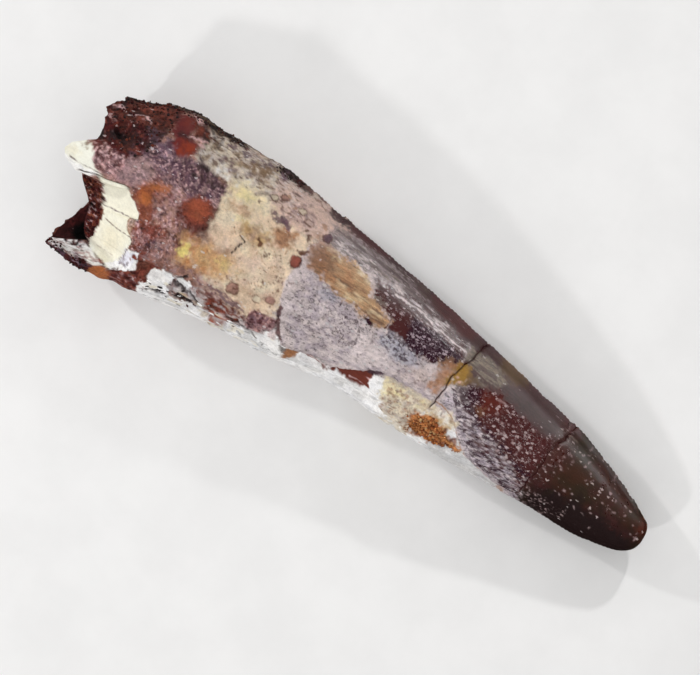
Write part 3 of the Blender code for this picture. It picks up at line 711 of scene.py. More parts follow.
# %% Crown: wide areas
ENAMEL_EDGE = (
    -11.5, 20, -12.5, 10, -13.6, 8, -15, 5.6, -15.3, 1, -14.9, -3, -14.0, -4.5, -13.5, -6.5, -12.5, -8,
    -11.4, -9.4, -10.4, -10.6, -8.6, -9.7, -5.8, -9.4, -2, -9.6, -1.3, -9.3, -0.2, -8.4, 1.8, -7.6, 3, -7.1,
    3.6, -6.3, 5.6, -5.7, 11, -5.6, 14.7, -5.7, 16, -5.4, 18, -6, 20, -6.8, 21, -8.1, 22.2, -9.3, 24, -10.7,
    26.8, -11.5, 31, -12.3, 33.5, -12.6, 36, -14, 60, -14, 60, 20,
)
CROWN_AREAS = [
    area("white_chalk", 0.4, 0.6, -14, -9, 38, -5, 38, -20, -14, -20),
    # Past x = 18 the pale -Y side is painted grey: painted shade on the lower side of the crown.
    area("grey_chalk_and_shade", 1.4, 0.6, 18, -9, 38, -9, 38, -20, 18, -20),
    islands("grey_chalk_and_shade", 0.9, 0.1, 0.25, -12, -9, 20, -8, 20, -16, -12, -16, drawn=0.4),
    area("beige", 0.8, 1.1, 8, -5, 15.6, -5, 14, -12.4, 10, -12.4, 7, -9.4, cover=0.9),
    area("pale_yellow", 0.6, 0.8, 6.4, -5, 11, -5, 10.4, -8, 7, -8.6),
    islands("taupe", 0.8, 0, 0.3, 8.8, -5.4, 15, -5.4, 14, -12, 8, -11.4, cover=0.8),
    area("lilac_enamel", 0.1, 0.3, *ENAMEL_EDGE, height=0.28),
    islands("white_enamel_and_highlight", 1.3, 0, 0.4, *ENAMEL_EDGE, cover=0.6, drawn=0.6),
    islands("violet_enamel", 0.6, 0.1, 0.25, -14, 3, 0, 0.6, 13, -1, 16, -5, 2, -8, -11, -10, cover=0.55,
        drawn=0.7),
    islands("violet_enamel", 1, 0, 0.4, -10.6, 2, -5.6, 1.8, -6, -1, -10, -0.6, cover=0.6),
    islands("speckled", 0.28, 0.4, 0.08, -13, 2, -2, 0.6, 12, -1, 14, -4.6, 2, -6, -11, -8, cover=0.75,
        drawn=0.6),
    islands("speckled", 0.3, 0.28, 0.08, -6, 0.6, 0, 0.8, 3, -3.4, -3, -5.4, cover=0.8),
    area("lilac_dentine", 0.6, 1, -16, 14, -10.6, 12.6, -9.8, 10.4, -12.6, 9.6, -16, 9.6),
    area("tan_brown", 0.9, 0.9, -14.6, 8.4, -10.6, 7.8, -9, 4, -11.4, 2.6, -14.6, 5, cover=0.8),
    area("grey_brown_enamel", 0.6, 0.9, -13, 11.4, -6, 10.8, -1, 9.8, 5, 8.8, 4, 7.4, -4, 7.2, -9, 7.2, -12,
        7.8, cover=0.8),
    islands("white_enamel_and_highlight", 0.4, 0.2, 0.12, -12, 9.6, 2, 8.2, 2, 5.6, -3, 5.6, -10, 7, cover=0.8, drawn=0.5),
    islands("speckled", 0.4, 0.3, 0.12, -12, 9.6, 2, 8.2, 2, 6.2, -10, 7, drawn=0.25),
    area("purple_enamel", 0.6, 0.9, 1.4, 8.2, 9, 7.2, 16.4, 5.2, 16.4, 1.4, 9, 4.4, 3, 5.4),
    # White islands along the line of gloss: partly pale flecks, partly painted highlight.
    islands("white_enamel_and_highlight", 0.5, 0.25, 0.15, 1, 8, 9, 6.8, 16, 4.8, 16, 2.8, 8, 4.6, 1, 5.8, drawn=0.2),
    area("maroon_enamel", 0.4, 0.9, -2, 6.6, 2.6, 6.2, 8, 4.9, 16.4, 3.4, 16.6, 1, 13.6, 0.4, 11.6, -0.6, 8,
        -0.6, 5, 0.4, 3, 1, 2.6, 2.4, -1.6, 3.4),
    islands("purple_enamel", 1, 0, 0.4, -2.4, 6.6, 3, 6.2, 8, 5, 8, 3, 2, 4, -2, 4.4, cover=0.8, drawn=0.7),
    area("speckled", 0.35, 0.9, 5.8, 4.6, 10, 4.2, 16.4, 2.6, 16.4, 1.2, 13.4, 0, 8, -0.4, 5.8, 0.8),
    area("bare_maroon", 0.3, 0.5, 2.7, 2.5, 6.2, 2.7, 6.2, 0.8, 3, 0.5),
    area("blue_enamel", 0.7, 1, 3.4, 0.6, 9, -0.4, 11.4, -1.4, 9, -3.2, 5, -2.8, 3, -1, cover=0.75),
    islands("speckled", 0.35, 0.1, 0.12, 3.4, 0.8, 9, 0, 11.4, -1.2, 9, -2.6, 5, -2.4, 3, -1, cover=0.85),
    oval("blue_enamel", 0.6, 0.8, -8.6, 0.8, 1.6, 0.8, cover=0.6),
    oval("white_enamel_and_highlight", 0.9, 0.9, 2.8, -3.6, 2.6, 1.6, cover=0.8),
    area("white_enamel_and_highlight", 0.6, 0.8, -1, -6, 4, -4, 8, -3.6, 8, -5.4, 4, -5.6, 0, -7.6, cover=0.5),
    oval("lilac_dentine", 0.9, 0.8, 12, -3.4, 2.8, 1.6, cover=0.3),
    area("keel_brown", 0.4, 0.5, 16.4, 5.8, 23, 5.4, 38, 1.8, 38, -2.6, 22, -0.6, 18, 0.4, 16.4, 1.4),
    area("maroon_enamel", 0.5, 1, 18.6, -0.8, 22, 0.4, 26, 0.8, 31, -0.2, 37, -1.4, 38, -9.8, 34, -9.4, 29,
        -7, 24.6, -5.8, 22, -4.6, 20, -2.8),
    area("speckled", 0.6, 1, 16.6, -1.2, 21.6, -0.2, 23, -2.4, 23.4, -5.2, 20, -4.2, cover=0.85),
    area("scratched_enamel", 1, 1.2, 17, -3.2, 22, -4.8, 29, -7.4, 35, -10.2, 36, -12.6, 28, -11.8, 24.6,
        -10.6, 21, -7.4, 17, -5.4, cover=0.85),
    islands("white_enamel_and_highlight", 0.35, 0.25, 0.12, 17, -3.6, 24, -5.4, 34, -10, 34, -12, 27, -11.4, 21, -7.6,
        cover=0.75, drawn=0.3),
    islands("purple_enamel", 0.4, 0, 0.15, 19, -3.2, 24, -4.6, 30, -6, 37, -9, 36, -12.4, 27, -11, 22.6,
        -7.4, cover=0.8, drawn=0.3),
    islands("speckled", 0.3, 0.15, 0.08, 16.6, -2, 24, -4.6, 30, -6, 36, -8.4, 36, -12.4, 26, -11, 20, -6.4,
        cover=0.9, drawn=0.35),
    islands("maroon_enamel", 0.7, 0.25, 0.2, 24, -5, 37, -8, 37, -11, 30, -10, 24, -7.6, cover=0.8,
        drawn=0.5),
    area("tip_brown", 0.5, 0.4, 36, 4, 36, -1.6, 35.6, -10, 36, -14, 60, -14, 60, 4),
    # Painted sheen: a grey stripe near the +Y edge, where the enamel mirrors the light.
    area("painted_grey_sheen", 0.9, 0.6, 24.6, 2.2, 28, 2.2, 36, 0.6, 36, -1.6, 31, -0.7, 27.4, 0.3, 25.4, 0.9,
        cover=0.6),
]

# %% [markdown]
# Along the +Y edge a dark keel runs to the tip. Streaks of bare brown run beside it, where the light
# glances off the enamel. Thin white lines along the crown are a painted highlight.

# %% Crown: the keel and the streaks
CROWN_KEEL = [
    area("keel_brown", 0.35, 0.6, -15, 14.6, -11, 13.6, -4, 12.8, 4, 11.4, 12, 9.6, 22, 8, 40, 4.4, 40, 0.4,
        34, 1.2, 28, 2.2, 22.4, 4.8, 16, 5, 10, 6.6, 3.6, 8.8, -3, 10.1, -9.6, 11.4, -11.6, 11.8, -15, 12.6),
    islands("black_crust", 0.8, 0.05, 0.2, -14, 14.6, -4, 13, 12, 9.8, 12, 8.6, -4, 11.4, -14, 13,
        cover=0.85),
    area("keel_maroon", 0.25, 0.4, -10.8, 12.4, -6, 11.9, -1.6, 11, -3, 10.2, -6, 10.5, -10.2, 11.3),
    area("keel_maroon", 0.3, 0.5, 6.6, 9.2, 10.4, 9, 14.4, 7.8, 17, 7.4, 16, 5.6, 10.4, 6.9, 7, 7.7),
    islands("taupe_enamel", 0.7, 0.1, 0.15, -12, 10.8, 6, 9, 6, 7, -12, 8.8, cover=0.6, drawn=0.2),
    islands("keel_brown", 0.7, 0.1, 0.15, -12, 10.6, 4, 9.2, 12, 7.4, 12, 6, 0, 7.6, -12, 8.6, drawn=0.2),
    area("olive_brown", 0.6, 0.6, 21.8, 6.6, 26.8, 5.6, 28, 4, 25, 2.9, 22.4, 4, cover=0.9),
    area("taupe_enamel", 0.45, 0.7, 16.4, 4.8, 20, 4.7, 22.6, 4, 24.4, 2.6, 23, 1.2, 20, 1.6, 16.6, 2.3),
    islands("keel_brown", 0.5, 0.1, 0.12, 17, 4.8, 22.4, 4.2, 23, 1.6, 17, 2.4, drawn=0.2),
    line("keel_brown", 0.24, 0.3, 16.6, 2.2, 18.4, 1.9, 20, 1.7, 21.4, 1.3, 22.8, 0.8),
    line("keel_brown", 0.3, 0.3, 18.6, -0.8, 20, -0.3, 21.6, 0.2, 22.8, 0.6, cover=0.85),
    area("taupe_enamel", 0.3, 0.4, 19.6, 1.2, 21.8, 0.8, 22.4, 0.5, 21, 0.1, 19.4, 0.2, cover=0.7),
    line("pale_grain", 0.25, 0.3, 24.4, -0.3, 25.2, -0.2, 26.2, -0.4, cover=0.9),
    line("keel_brown", 0.25, 0.4, -1.4, 9.2, 3.4, 8.2, 7.6, 7.1, cover=0.7),
    # Painted highlight: thin white lines where the crown's line of gloss runs.
    line("white_enamel_and_highlight", 0.3, 0.25, 1.4, 6.1, 3, 6, 5.4, 6, 7.6, 5.7, 8.8, 5.25, cover=0.8),
    line("white_enamel_and_highlight", 0.22, 0.2, 8.7, 5.2, 11.2, 4.6, 14.2, 4, 16.2, 3.75, cover=0.8),
    line("white_enamel_and_highlight", 0.14, 0.25, 6, 6.3, 9, 5.7, 12, 4.9, cover=0.5),
    line("speckled", 0.35, 0.4, 9, 3.5, 12, 3.1, 16.2, 2.6, cover=0.8),
]

# %% [markdown]
# The golden band is fibrous: lines of brown and pale run along it. Below it lie the bare red core and, by
# the first break, olive stains.

# %% Crown: golden band, stains and core
CROWN_COLOURS = [
    area("golden_fibre", 0.5, 0.9, -12, 6.6, -8, 7.2, -4, 6.4, -2.6, 5.2, -2, 4.1, 0, 2.9, 2.8, 2.2, 2.7,
        0.6, 0, 0.4, -3, 0.8, -7, 1.7, -12, 3.2, height=-0.06),
    islands("orange_fibre", 1.6, -0.25, 0.6, -13, 6.2, -6, 5.6, -5, 2, -9, 2.2, -13, 3, drawn=0.6),
    islands("taupe_enamel", 1, 0.15, 0.4, -13, 7, -2, 6, 2.6, 2.4, 2.6, 0.4, -5, 1, -12, 3, cover=0.5,
        drawn=0.3),
    islands("pale_yellow", 0.7, 0.15, 0.3, -12, 7.6, -4, 6.8, -3, 5.4, -11, 5.8, cover=0.6, drawn=0.4),
    islands("brown_fibre", 0.6, 0.15, 0.2, -12, 5, -3, 4, 2.6, 2, 2.6, 0.6, -4, 1, -12, 3, cover=0.8,
        drawn=0.15),
    islands("pale_yellow", 0.5, 0.3, 0.2, -10, 4, -2, 3, 2.4, 1.6, -2, 1, -9, 2.2, cover=0.6, drawn=0.2),
    area("brown_fibre", 0.7, 0.8, -14, 6.4, -10.4, 6.6, -9.4, 4.4, -11.4, 3.2, -14, 4, cover=0.7),
    line("dark_spot", 0.16, 0.35, -9.6, 4, -7, 3.7, -5, 3.5, cover=0.6),
    line("dark_spot", 0.16, 0.35, -4.4, 1.5, -2, 1.2, 0.6, 1.1, 2.4, 1.1, cover=0.7),
    line("dark_spot", 0.16, 0.3, -1.4, 2.5, 0.6, 2.3, 2.4, 2.1, cover=0.7),
    line("bare_maroon", 0.25, 0.2, 2.7, 2.3, 2.8, 1.4, 2.6, 0.6),
    oval("speckled", 0.15, 0.4, -0.3, 0.4, 0.8, 0.4, turn=-20),
    area("maroon_crust", 0.15, 0.3, -14.3, -4.3, -13.6, -4.6, -13.2, -6.4, -12.2, -7.8, -11.1, -9.4, -11.5,
        -9.9, -12.6, -8.8, -13.6, -7.2, -14.1, -5.8, height=-0.15, cover=0.85, wraps=False),
    line("black_crust", 0.3, 0.3, -11, -11, -10.2, -11.1, -9.4, -10.9, cover=0.7),
    line("bare_core", 0.28, 0.25, -8.8, -10.7, -8, -9.8, -5.8, -9.55, -2, -9.8, -1.2, -9.5, height=-0.1),
    line("pink_flake", 0.14, 0.2, -7.4, -9.75, -5, -9.75, -2.4, -9.95, cover=0.7),
    line("bare_core", 0.18, 0.2, -7.4, -10, -5, -9.95, -2.2, -10.15, cover=0.9),
    oval("rust_brown", 0.2, 0.3, -8.8, -10.8, 1.3, 0.6, turn=42),
    area("bare_core", 0.08, 0.3, -1.4, -9.4, -0.2, -8.4, 1.8, -7.6, 3, -7.1, 3.6, -6.4, 5, -6.2, 4.7, -7.2,
        4.8, -8.2, 5.2, -9.2, 4.2, -9.75, 1, -9.65, height=-0.12, wraps=False),
    area("dark_purple", 0.1, 0.3, 3.5, -6.9, 3.8, -6.2, 5.6, -5.7, 6.5, -5.8, 5.2, -6.6, 4.7, -6.9,
        height=-0.1, cover=0.9, wraps=False),
    line("pink_flake", 0.22, 0.25, 1.4, -9.35, 3, -9.2, 4.4, -9.35, cover=0.75),
    line("pink_flake", 0.2, 0.2, 4, -7.9, 5, -8, cover=0.7),
    area("white_chalk", 0.15, 0.25, 4.9, -6.7, 6.8, -6.4, 7, -8.2, 6.4, -8.9, 4.9, -8.7, cover=0.9),
    islands("yellow", 0.7, 0.3, 0.3, 7, -5.8, 12, -5.8, 15, -6.4, 14, -8.8, 7.4, -8.8, cover=0.35,
        drawn=0.5),
    islands("tan_brown", 0.5, 0.25, 0.2, 8, -6, 15.4, -5.8, 14, -12, 8, -11),
    islands("dark_spot", 0.4, 0.45, 0.12, 8, -7, 13.6, -7, 13.6, -12, 8, -11),
    area("olive_brown", 1, 0.9, 13.2, 0.2, 14.4, 1.2, 16.2, 1.4, 15.9, -1, 15.2, -3, 14.2, -2.4, cover=0.6),
    area("rust_brown", 0.5, 0.8, 14.4, 1.4, 16.4, 1.6, 16, -1.2, 15.4, -4.6, 14.4, -4.6, 14.2, -1.5,
        cover=0.6),
    islands("rust_brown", 0.8, -0.1, 0.4, 13, 0.6, 16.4, 1, 15.2, -4.4, 13.6, -4.2),
    area("olive_yellow", 0.7, 0.7, 16.3, 2, 18.2, 1.9, 18.9, 0.6, 18.4, -0.8, 17.2, -1.7, 15.7, -2, 16.1, 0),
    area("olive_brown", 0.4, 0.5, 18.2, 1.2, 20.8, 0.6, 20.6, -0.2, 18.4, -0.6, cover=0.7),
    *spots("pink_flake", 0.3, 16.9, -0.4, 17.5, -0.9, cover=0.6, ragged=0.35),
    area("beige", 0.4, 0.6, 14.8, -5.8, 19.2, -6.2, 20.8, -7.2, 20.6, -8.8, 15.6, -8.6, 14, -7.6),
    islands("white_chalk", 0.9, 0, 0.3, 15.4, -5.9, 20, -6.4, 20.8, -8.8, 18, -8, 15.4, -7.4, cover=0.5),
    islands("tan_brown", 0.7, 0.2, 0.3, 14.8, -5.8, 20, -6.4, 20.8, -8.8, 18, -8, 15, -7.6, cover=0.6),
    oval("ochre", 0.4, 0.6, 17.6, -7.9, 1.4, 0.6, turn=-25, cover=0.6),
    line("tan_brown", 0.28, 0.25, 15.8, -5.6, 16.8, -5.4, 17.8, -5.9, cover=0.9, height=-0.08),
    line("tan_brown", 0.16, 0.25, 17.8, -5.9, 18.8, -6.2, 20, -6.9, 21, -8, 22.2, -9.3, 24, -10.7, 26.8,
        -11.5, 33, -12.6, cover=0.8, height=-0.06),
    line("dark_spot", 0.22, 0.12, 17.6, -6.5, 17.7, -7.1, cover=0.7),
    area("sand_orange", 0.25, 0.6, 13.2, -10.6, 13.8, -9, 15.1, -8.3, 16.5, -7.6, 17.7, -8.1, 19.8, -8.8, 21,
        -10, 24, -10.7, 22, -11.3, 19.2, -11.8, 17.5, -12.1, 13.4, -11.4, wraps=False),
    islands("sand_rust", 1.1, 0.1, 0.3, 13, -9, 21, -9, 23, -10.8, 20, -12, 14, -12, wraps=False),
    islands("gold", 0.8, 0.2, 0.25, 13.6, -8.4, 20, -8.2, 22, -10.6, 14, -11, wraps=False),
    # Dark red spots in the sand pocket: partly rusty grains, partly painted shadow in its hollows.
    *spots("rusty_crust", 0.4, 19.6, -9, 15.6, -11.4, 18, -11.3, 21, -9.9, cover=0.7, soft=0.3, wraps=False),
    area("red_enamel", 1.1, 0.9, 22, 0.2, 25.4, 0.4, 26.4, -1.2, 24.8, -3, 22.6, -3.6, 21.6, -1.4,
        cover=0.6),
    oval("brown_fibre", 0.5, 0.6, 22.6, -3.2, 0.9, 0.7, cover=0.5),
    # More of the painted grey sheen.
    islands("painted_grey_sheen", 0.8, 0, 0.3, 24, 2, 30, 1.6, 31, -0.6, 25, 0.2, cover=0.6),
]

# %% [markdown]
# The tip is dark and polished, maroon near the break, olive brown on top and nearly black on the lower side,
# with a rusty point. Pale mineral grains sit on it. The largest have a place of their own, and the surface
# shader scatters the rest.

# %% Crown: tip and single grains
CROWN_TIP = [
    area("tip_black", 1.6, 1.2, 36.4, -8.4, 44, -7.6, 52, -7.4, 56, -8, 58, -14, 36, -14),
    area("maroon_enamel", 1.2, 1, 35.8, 2.6, 39, 1.4, 40, -2.4, 39, -5, 38.4, -9.4, 35.2, -10, cover=0.6),
    area("bare_maroon", 1.2, 1, 44, 0.4, 52, -3, 52, -6, 46, -5, 43, -2, cover=0.4),
    # Painted sheen: a grey stripe along the tip's +Y edge.
    area("painted_grey_sheen", 0.4, 0.5, 41, 1.4, 46, -0.2, 55, -4.2, 54.6, -5, 46, -1.4, 41.6, 0.2, cover=0.55),
    islands("red_enamel", 2.2, 0.1, 1.2, 37, -2, 56, -5.4, 56, -9, 38, -8, cover=0.2),
    islands("maroon_enamel", 1.2, 0.1, 0.5, 44, -1, 57, -5, 57, -10, 46, -8, cover=0.4),
    oval("tip_red", 0.9, 0.5, 56.4, -6.6, 1, 1.6, cover=0.7),
    line("pale_grain", 0.12, 0.12, 37.3, 1.5, 37.4, 0.7, cover=0.5),
    line("taupe_enamel", 0.18, 0.3, 37.4, 0.4, 39.6, 0.1, cover=0.6),
    *spots("pale_grain", 0.16, 24.7, -3, 28, -2.8, 29, -2.6, 27.8, -4.8, 32, -3.8, 30.2, -1.5, 25.4, -2.3,
        23.8, -1.5, 26.2, -4.2, 33, -3.2, 30, -4.4, 32.2, -2, 29.6, -4.9, 31.6, -6.4, 28.6, -7.2, 26.6, -2.2,
        33.6, -5, 24, -2.4, 25, -3.8, 27, -3.2, cover=0.7, ragged=0.45),
    *spots("pale_grain", 0.24, 31.1, -2.9, 30, -5.2, 31.8, -5.6, 28.2, -4.6, 25.5, -2, cover=0.75,
        height=0.04),
    *spots("pale_grain", 0.17, 38.7, -2.8, 39.1, -3.6, 39.6, -2.2, 40.4, -2.8, 39.2, -1.9, 38.4, -3.8, 40.2,
        -4.2, 39.4, -5, 37.4, -4.3, 37.3, -5.4, 38.6, -5.9, 39.7, -6.3, 40, -0.5, 42.3, -0.1, 42.5, -0.8,
        41.2, -1.4, 42.8, -2.6, 37, -6.2, 38.2, -5.2, 43.1, -1.8, 38.9, -4.6, 40.6, -3.4, 41.6, -1.3, 39.3,
        -2, cover=0.65, ragged=0.45),
    *spots("pale_grain", 0.16, 44, -4.5, 44.8, -4.2, 43.9, -3.4, 42.1, -6.8, 41.6, -7.6, 42.9, -7.4, 48.6,
        -3.6, 48.1, -2.3, 49.8, -3.8, 49.9, -5.3, 52, -5.1, 48, -6.4, 49.2, -6.9, 50.5, -6.9, 52.4, -6.3,
        52.7, -7, 54.5, -7.1, 46.5, -8.2, 46, -9.4, 44.3, -9.2, 40.4, -8.4, 41.2, -8.7, 54.8, -8.4, 55.6, -8,
        55.7, -8.7, 48.2, -10.9, 53.6, -4.4, 47.2, -8.6, 49.6, -6.6, 50.2, -7.2, cover=0.6, ragged=0.45),
    oval("pale_grain", 0.1, 0.3, 48.5, -4.4, 0.28, 0.2, turn=30, height=0.06, cover=0.8),
    islands("pale_grain", 0.3, 0.42, 0.08, 33.6, -9.8, 43.6, -10.2, 43.8, -12, 40, -12.4, 34, -12),
]
MARKS = (ROOT_AREAS + ROOT_COLOURS + ROOT_CORNER + CROWN_AREAS + ROOT_END + ROOT_SPOTS + CROWN_KEEL
         + CROWN_COLOURS + CROWN_TIP)
for number, item in enumerate(MARKS):
    item["seed"] = 200 + number
print(len(MARKS), "marks")

# %% [markdown]
# ## Finding the finish of every point
# Each point of the skin is looked up on the view from above. Past the edge of the tooth, on the side that it
# rests on, the same wide areas go on, but noise carries the lookup away from its mirror place, so that the
# two sides don't repeat each other. One pass over the marks gives eight numbers for each point, and a height.

# %% Painting
FIRST_FINISH = "lilac_enamel"
WANDER = 6.0  # millimetres of wandering on the rest side
FRAYING = ((1.7, 0.5, 21), (0.62, 0.4, 22), (0.33, 0.3, 23))  # size, share and seed of each noise
GRIT = ((0.36, 0.6, 24), (0.8, 0.4, 25))
SPRINKLE = 1.5  # how grainy a soft edge is, as a share of its softness


def mixed_lumps(points, sizes, more=0):
    """Noise of several sizes added up, each by its share. More is added to the seeds."""
    return sum(share * lumps(points, size, seed + more, 40) for size, share, seed in sizes)


def lookup(points, angle):
    """Where each point is looked up on the view from above, and how far it lies on the rest side."""
    below = step(-np.sin(np.radians(angle)), 0.1, 0.7)
    x = points[..., 0] + WANDER * below * lumps(points, 11.0, 31)
    y = points[..., 1] + WANDER * below * lumps(points, 8.0, 32)
    return x, y, below


def island_depth(points, item):
    """How far inside an island each point lies: its size times how far noise passes its level."""
    size, level = item["islands"]
    place = points * np.array([item["drawn"], 1.0, 1.0])
    noise = mixed_lumps(place, ((size, 0.75, 0), (size / 2.3, 0.35, 1)), item["seed"])
    return size * (noise - level)


def painted(points, angle, marks=MARKS):
    """The finish of every point as eight numbers, and the height that its marks add. Each mark covers what
    lies under it by the soft step of its depth."""
    x, y, below = lookup(points, angle)
    fray_x, fray_y = mixed_lumps(points, FRAYING), mixed_lumps(points, FRAYING, 10)
    grit = mixed_lumps(points, GRIT)
    found = np.tile(finish(FIRST_FINISH), (*x.shape, 1))
    height = np.zeros(x.shape)
    for item in marks:
        x0, x1, y0, y1 = reach(item)
        near = (x > x0) & (x < x1) & (y > y0) & (y < y1)
        if not item["wraps"]:
            near &= below < 0.01
        if not near.any():
            continue
        moved_x = x[near] + item["ragged"] * fray_x[near]
        moved_y = y[near] + item["ragged"] * fray_y[near]
        depth = depth_inside(item, moved_x, moved_y) + SPRINKLE * min(item["soft"], 0.5) * grit[near]
        if item["islands"]:
            depth = np.minimum(depth, island_depth(points[near], item))
        share = item["cover"] * step(depth, -item["soft"], item["soft"])
        found[near] += share[:, None] * (finish(item["finish"]) - found[near])
        height[near] += share * item["height"]
    return found, height

# %% [markdown]
# ## The fine skin
# The height of the skin over its plain oval has four parts: the broad relief that the solid has too, the
# heights of the marks, fine lumps where a finish is lumpy, and small things such as the flutes of the enamel
# and the beads of the keel. The skin moves out along the radius of the section. A Displace modifier could
# move it too, but a formula knows the finish of each point, so crust comes out rough and enamel smooth.

# %% Relief
FLUTES = 90
FLUTE_HEIGHT = 0.014
BEAD_LENGTH = 0.75  # one bead of the keel, along the tooth
BEAD_HEIGHT = 0.16
SHOULDER_HEIGHT = 0.28  # of the keel just past the second break
FINE_LUMPS = ((1.5, 0.16, 41), (0.75, 0.12, 42), (0.42, 0.08, 43))  # size, height and seed of each noise
LIP_WIDTH = 0.28
BREAKS = {
    # where a glued break crosses the middle, its gap, how far its lips are worn, and where it is filled
    "first": (16.1, 0.11, 0.18, (112, 118, 196, 215)),
    "second": (36.3, 0.07, 0.16, (158, 170, 190, 210)),
}


def along_keel(angle, width):
    """1 on the +Y edge, where the angle is both 0 and 360, and 0 a few widths away."""
    return bell(angle, 0.0, width) + bell(angle, 360.0, width)


def break_line(angle, place):
    """How far in x a glued break strays from straight across: a slant over the width, plus a wobble."""
    turn = np.radians(angle)
    wobble = 0.3 * np.sin(3 * turn + 1) + 0.16 * np.sin(7 * turn + 2) + 0.1 * np.sin(17 * turn)
    return BREAK_SLANT * section(place)[1] * np.cos(turn) + wobble + 0.05 * np.sin(41 * turn)


def open_share(angle, filled):
    """How open a glued break is around the tooth. Sand and crust fill it along the -Y edge."""
    filling = step(angle, *filled[:2]) * (1 - step(angle, *filled[2:]))
    return 1 - 0.97 * filling


def crack_share(x, angle):
    """How much of the dark line along a glued break covers each point."""
    share = sum(open_share(angle, filled) * bell(x - break_line(angle, place), place, gap * 0.6 + 0.04)
                for place, gap, _, filled in BREAKS.values())
    return np.clip(share, 0.0, 1.0)


def broad_relief(x, angle, points):
    """The relief that the solid has too, but for the slots of its breaks."""
    root = 1 - step(x, ROOT_SKIN_X - 6, ROOT_SKIN_X + 6)
    fade = step(TIP_X - x, 0.3, 5.0)
    out = CRUST_HEIGHT * root * (0.65 * lumps(points, 4.6, 1) + 0.35 * lumps(points, 2.1, 2))
    out += CROWN_ROUGHNESS * (1 - root) * fade * lumps(points, 5.2, 3)
    edges = along_keel(angle, KEEL_ARC) + 0.6 * bell(angle, 181.0, KEEL_ARC)
    out += KEEL_HEIGHT * fade * step(x, -40, -15) * edges
    for middle, turn, half_length, half_arc, height in RELIEF:
        shape = ((x - middle) / half_length) ** 2 + ((angle - turn) / half_arc) ** 2
        out += height * step(1.4 - shape, 0.0, 0.9)
    return out


def fine_relief(x, angle, points, found, height):
    """Lumps by finish, flutes on the enamel, beads along the two edges, and the worn lips of the breaks."""
    fade = step(TIP_X - x, 0.3, 5.0)
    out = height + found[..., 7] * mixed_lumps(points, FINE_LUMPS)
    crown = step(x, -15, -8) * fade
    uneven = 0.6 + 0.5 * lumps(points, 2.6, 47)
    fluted = np.cos(np.radians(angle) * FLUTES + 2.5 * lumps(points, 9.0, 44))
    out += FLUTE_HEIGHT * crown * uneven * (1 - 0.8 * step(x, 16, 34)) * fluted
    past = step(x, 37.2, 37.7) * (1 - step(x, 38, 46))
    out += SHOULDER_HEIGHT * past * along_keel(angle, 14.0)
    edge = along_keel(angle, 5.0) + 0.5 * bell(angle, 181.0, 5.0)
    bead = np.abs(np.sin(np.pi * x / BEAD_LENGTH + 1.5 * lumps(points, 2.4, 45)))
    out += BEAD_HEIGHT * edge * fade * step(x, -32, -26) * (bead - 0.6 + 0.8 * lumps(points, 1.1, 46, 40))
    for place, _, worn, filled in BREAKS.values():
        out -= worn * open_share(angle, filled) * bell(x - break_line(angle, place), place, LIP_WIDTH)
    return out


def skin(x, angle):
    """Points of the outer skin at x and angle, and the finish of each."""
    mid_y, half_y, mid_z, half_z = section(x)
    turn = np.radians(angle)
    plain = np.stack([x, mid_y + half_y * np.cos(turn), mid_z + half_z * np.sin(turn)], axis=-1)
    found, height = painted(plain, angle)
    found += crack_share(x, angle)[..., None] * (finish("bare_maroon") - found)
    out = broad_relief(x, angle, plain) + fine_relief(x, angle, plain, found, height)
    y, z = plain[..., 1] + out * np.cos(turn), plain[..., 2] + out * np.sin(turn)
    return np.stack([x, y, np.clip(z, 0.0, None)], axis=-1), found

# %% [markdown]
# ## The hollow and the broken rim
# A Boolean cut could hollow the root, but it would leave thin triangles round the mouth. Here the pulp cavity
# is a second, smaller loft inside the first. Between the mouth of the cavity and the skin lies the broken
# face of the wall. Rows of points cross it from one border to the other. Splits along the tooth are steep
# steps in that face, and more columns run there.

# %% Cavity and rim
RIM_ROWS = 30
RIM_JAGS = 0.7  # how far the crust's broken edge strays, in millimetres
CAVITY_ROWS = 30
BROKEN_FACE = (-54, -2, -49, -2, -46.6, -7, -47, -13, -53, -13)
UPPER_FACE = (-54, -2, -49, -2, -46.6, -7, -46.8, -9.4, -51, -6)
RIM_MARKS = [
    area("rusty_crust", 0.1, 0.3, -56, -1.9, -53.4, -2.1, -50, -1.5, -49.4, -1.9, -48.6, -3.2, -48.2, -4.8,
        -47.1, -5.7, -46.6, -7, -46.7, -9, -46.9, -11.1, -48.4, -11.6, -50, -12.5, -52.2, -13.4, -56, -13.6),
    islands("rust_glaze", 1, 0, 0.3, *UPPER_FACE, cover=0.85),
    islands("orange_ochre", 0.8, 0.35, 0.2, *UPPER_FACE, cover=0.8),
    islands("maroon_crust", 0.8, 0, 0.25, *BROKEN_FACE, cover=1),
    # Near black islands on the broken face: painted shade in the mouth of the hollow.
    islands("painted_hollow_shade", 0.7, 0.2, 0.2, *BROKEN_FACE, height=-0.15, cover=1),
    islands("pink_flake", 0.45, 0.4, 0.12, *BROKEN_FACE, cover=0.75),
]


def rim_place(angle, column):
    """One value of the broken rim for each column of the loft."""
    return np.interp(angle, RIM[:, 0], RIM[:, column])


def cavity(x, angle):
    """The wall of the pulp cavity, which narrows to nothing at its blind end."""
    size = ((CAVITY_END_X - x) / (CAVITY_END_X - CAVITY_MOUTH_X)) ** 0.6
    turn = np.radians(angle)
    wide = CAVITY_HALF[0] * size * (1 + 0.03 * np.sin(turn * 3 + 1))
    high = CAVITY_HALF[1] * size * (1 + 0.06 * np.sin(turn * 5))
    return np.stack([x, CAVITY_MID[0] + wide * np.cos(turn), CAVITY_MID[1] + high * np.sin(turn)], axis=-1)


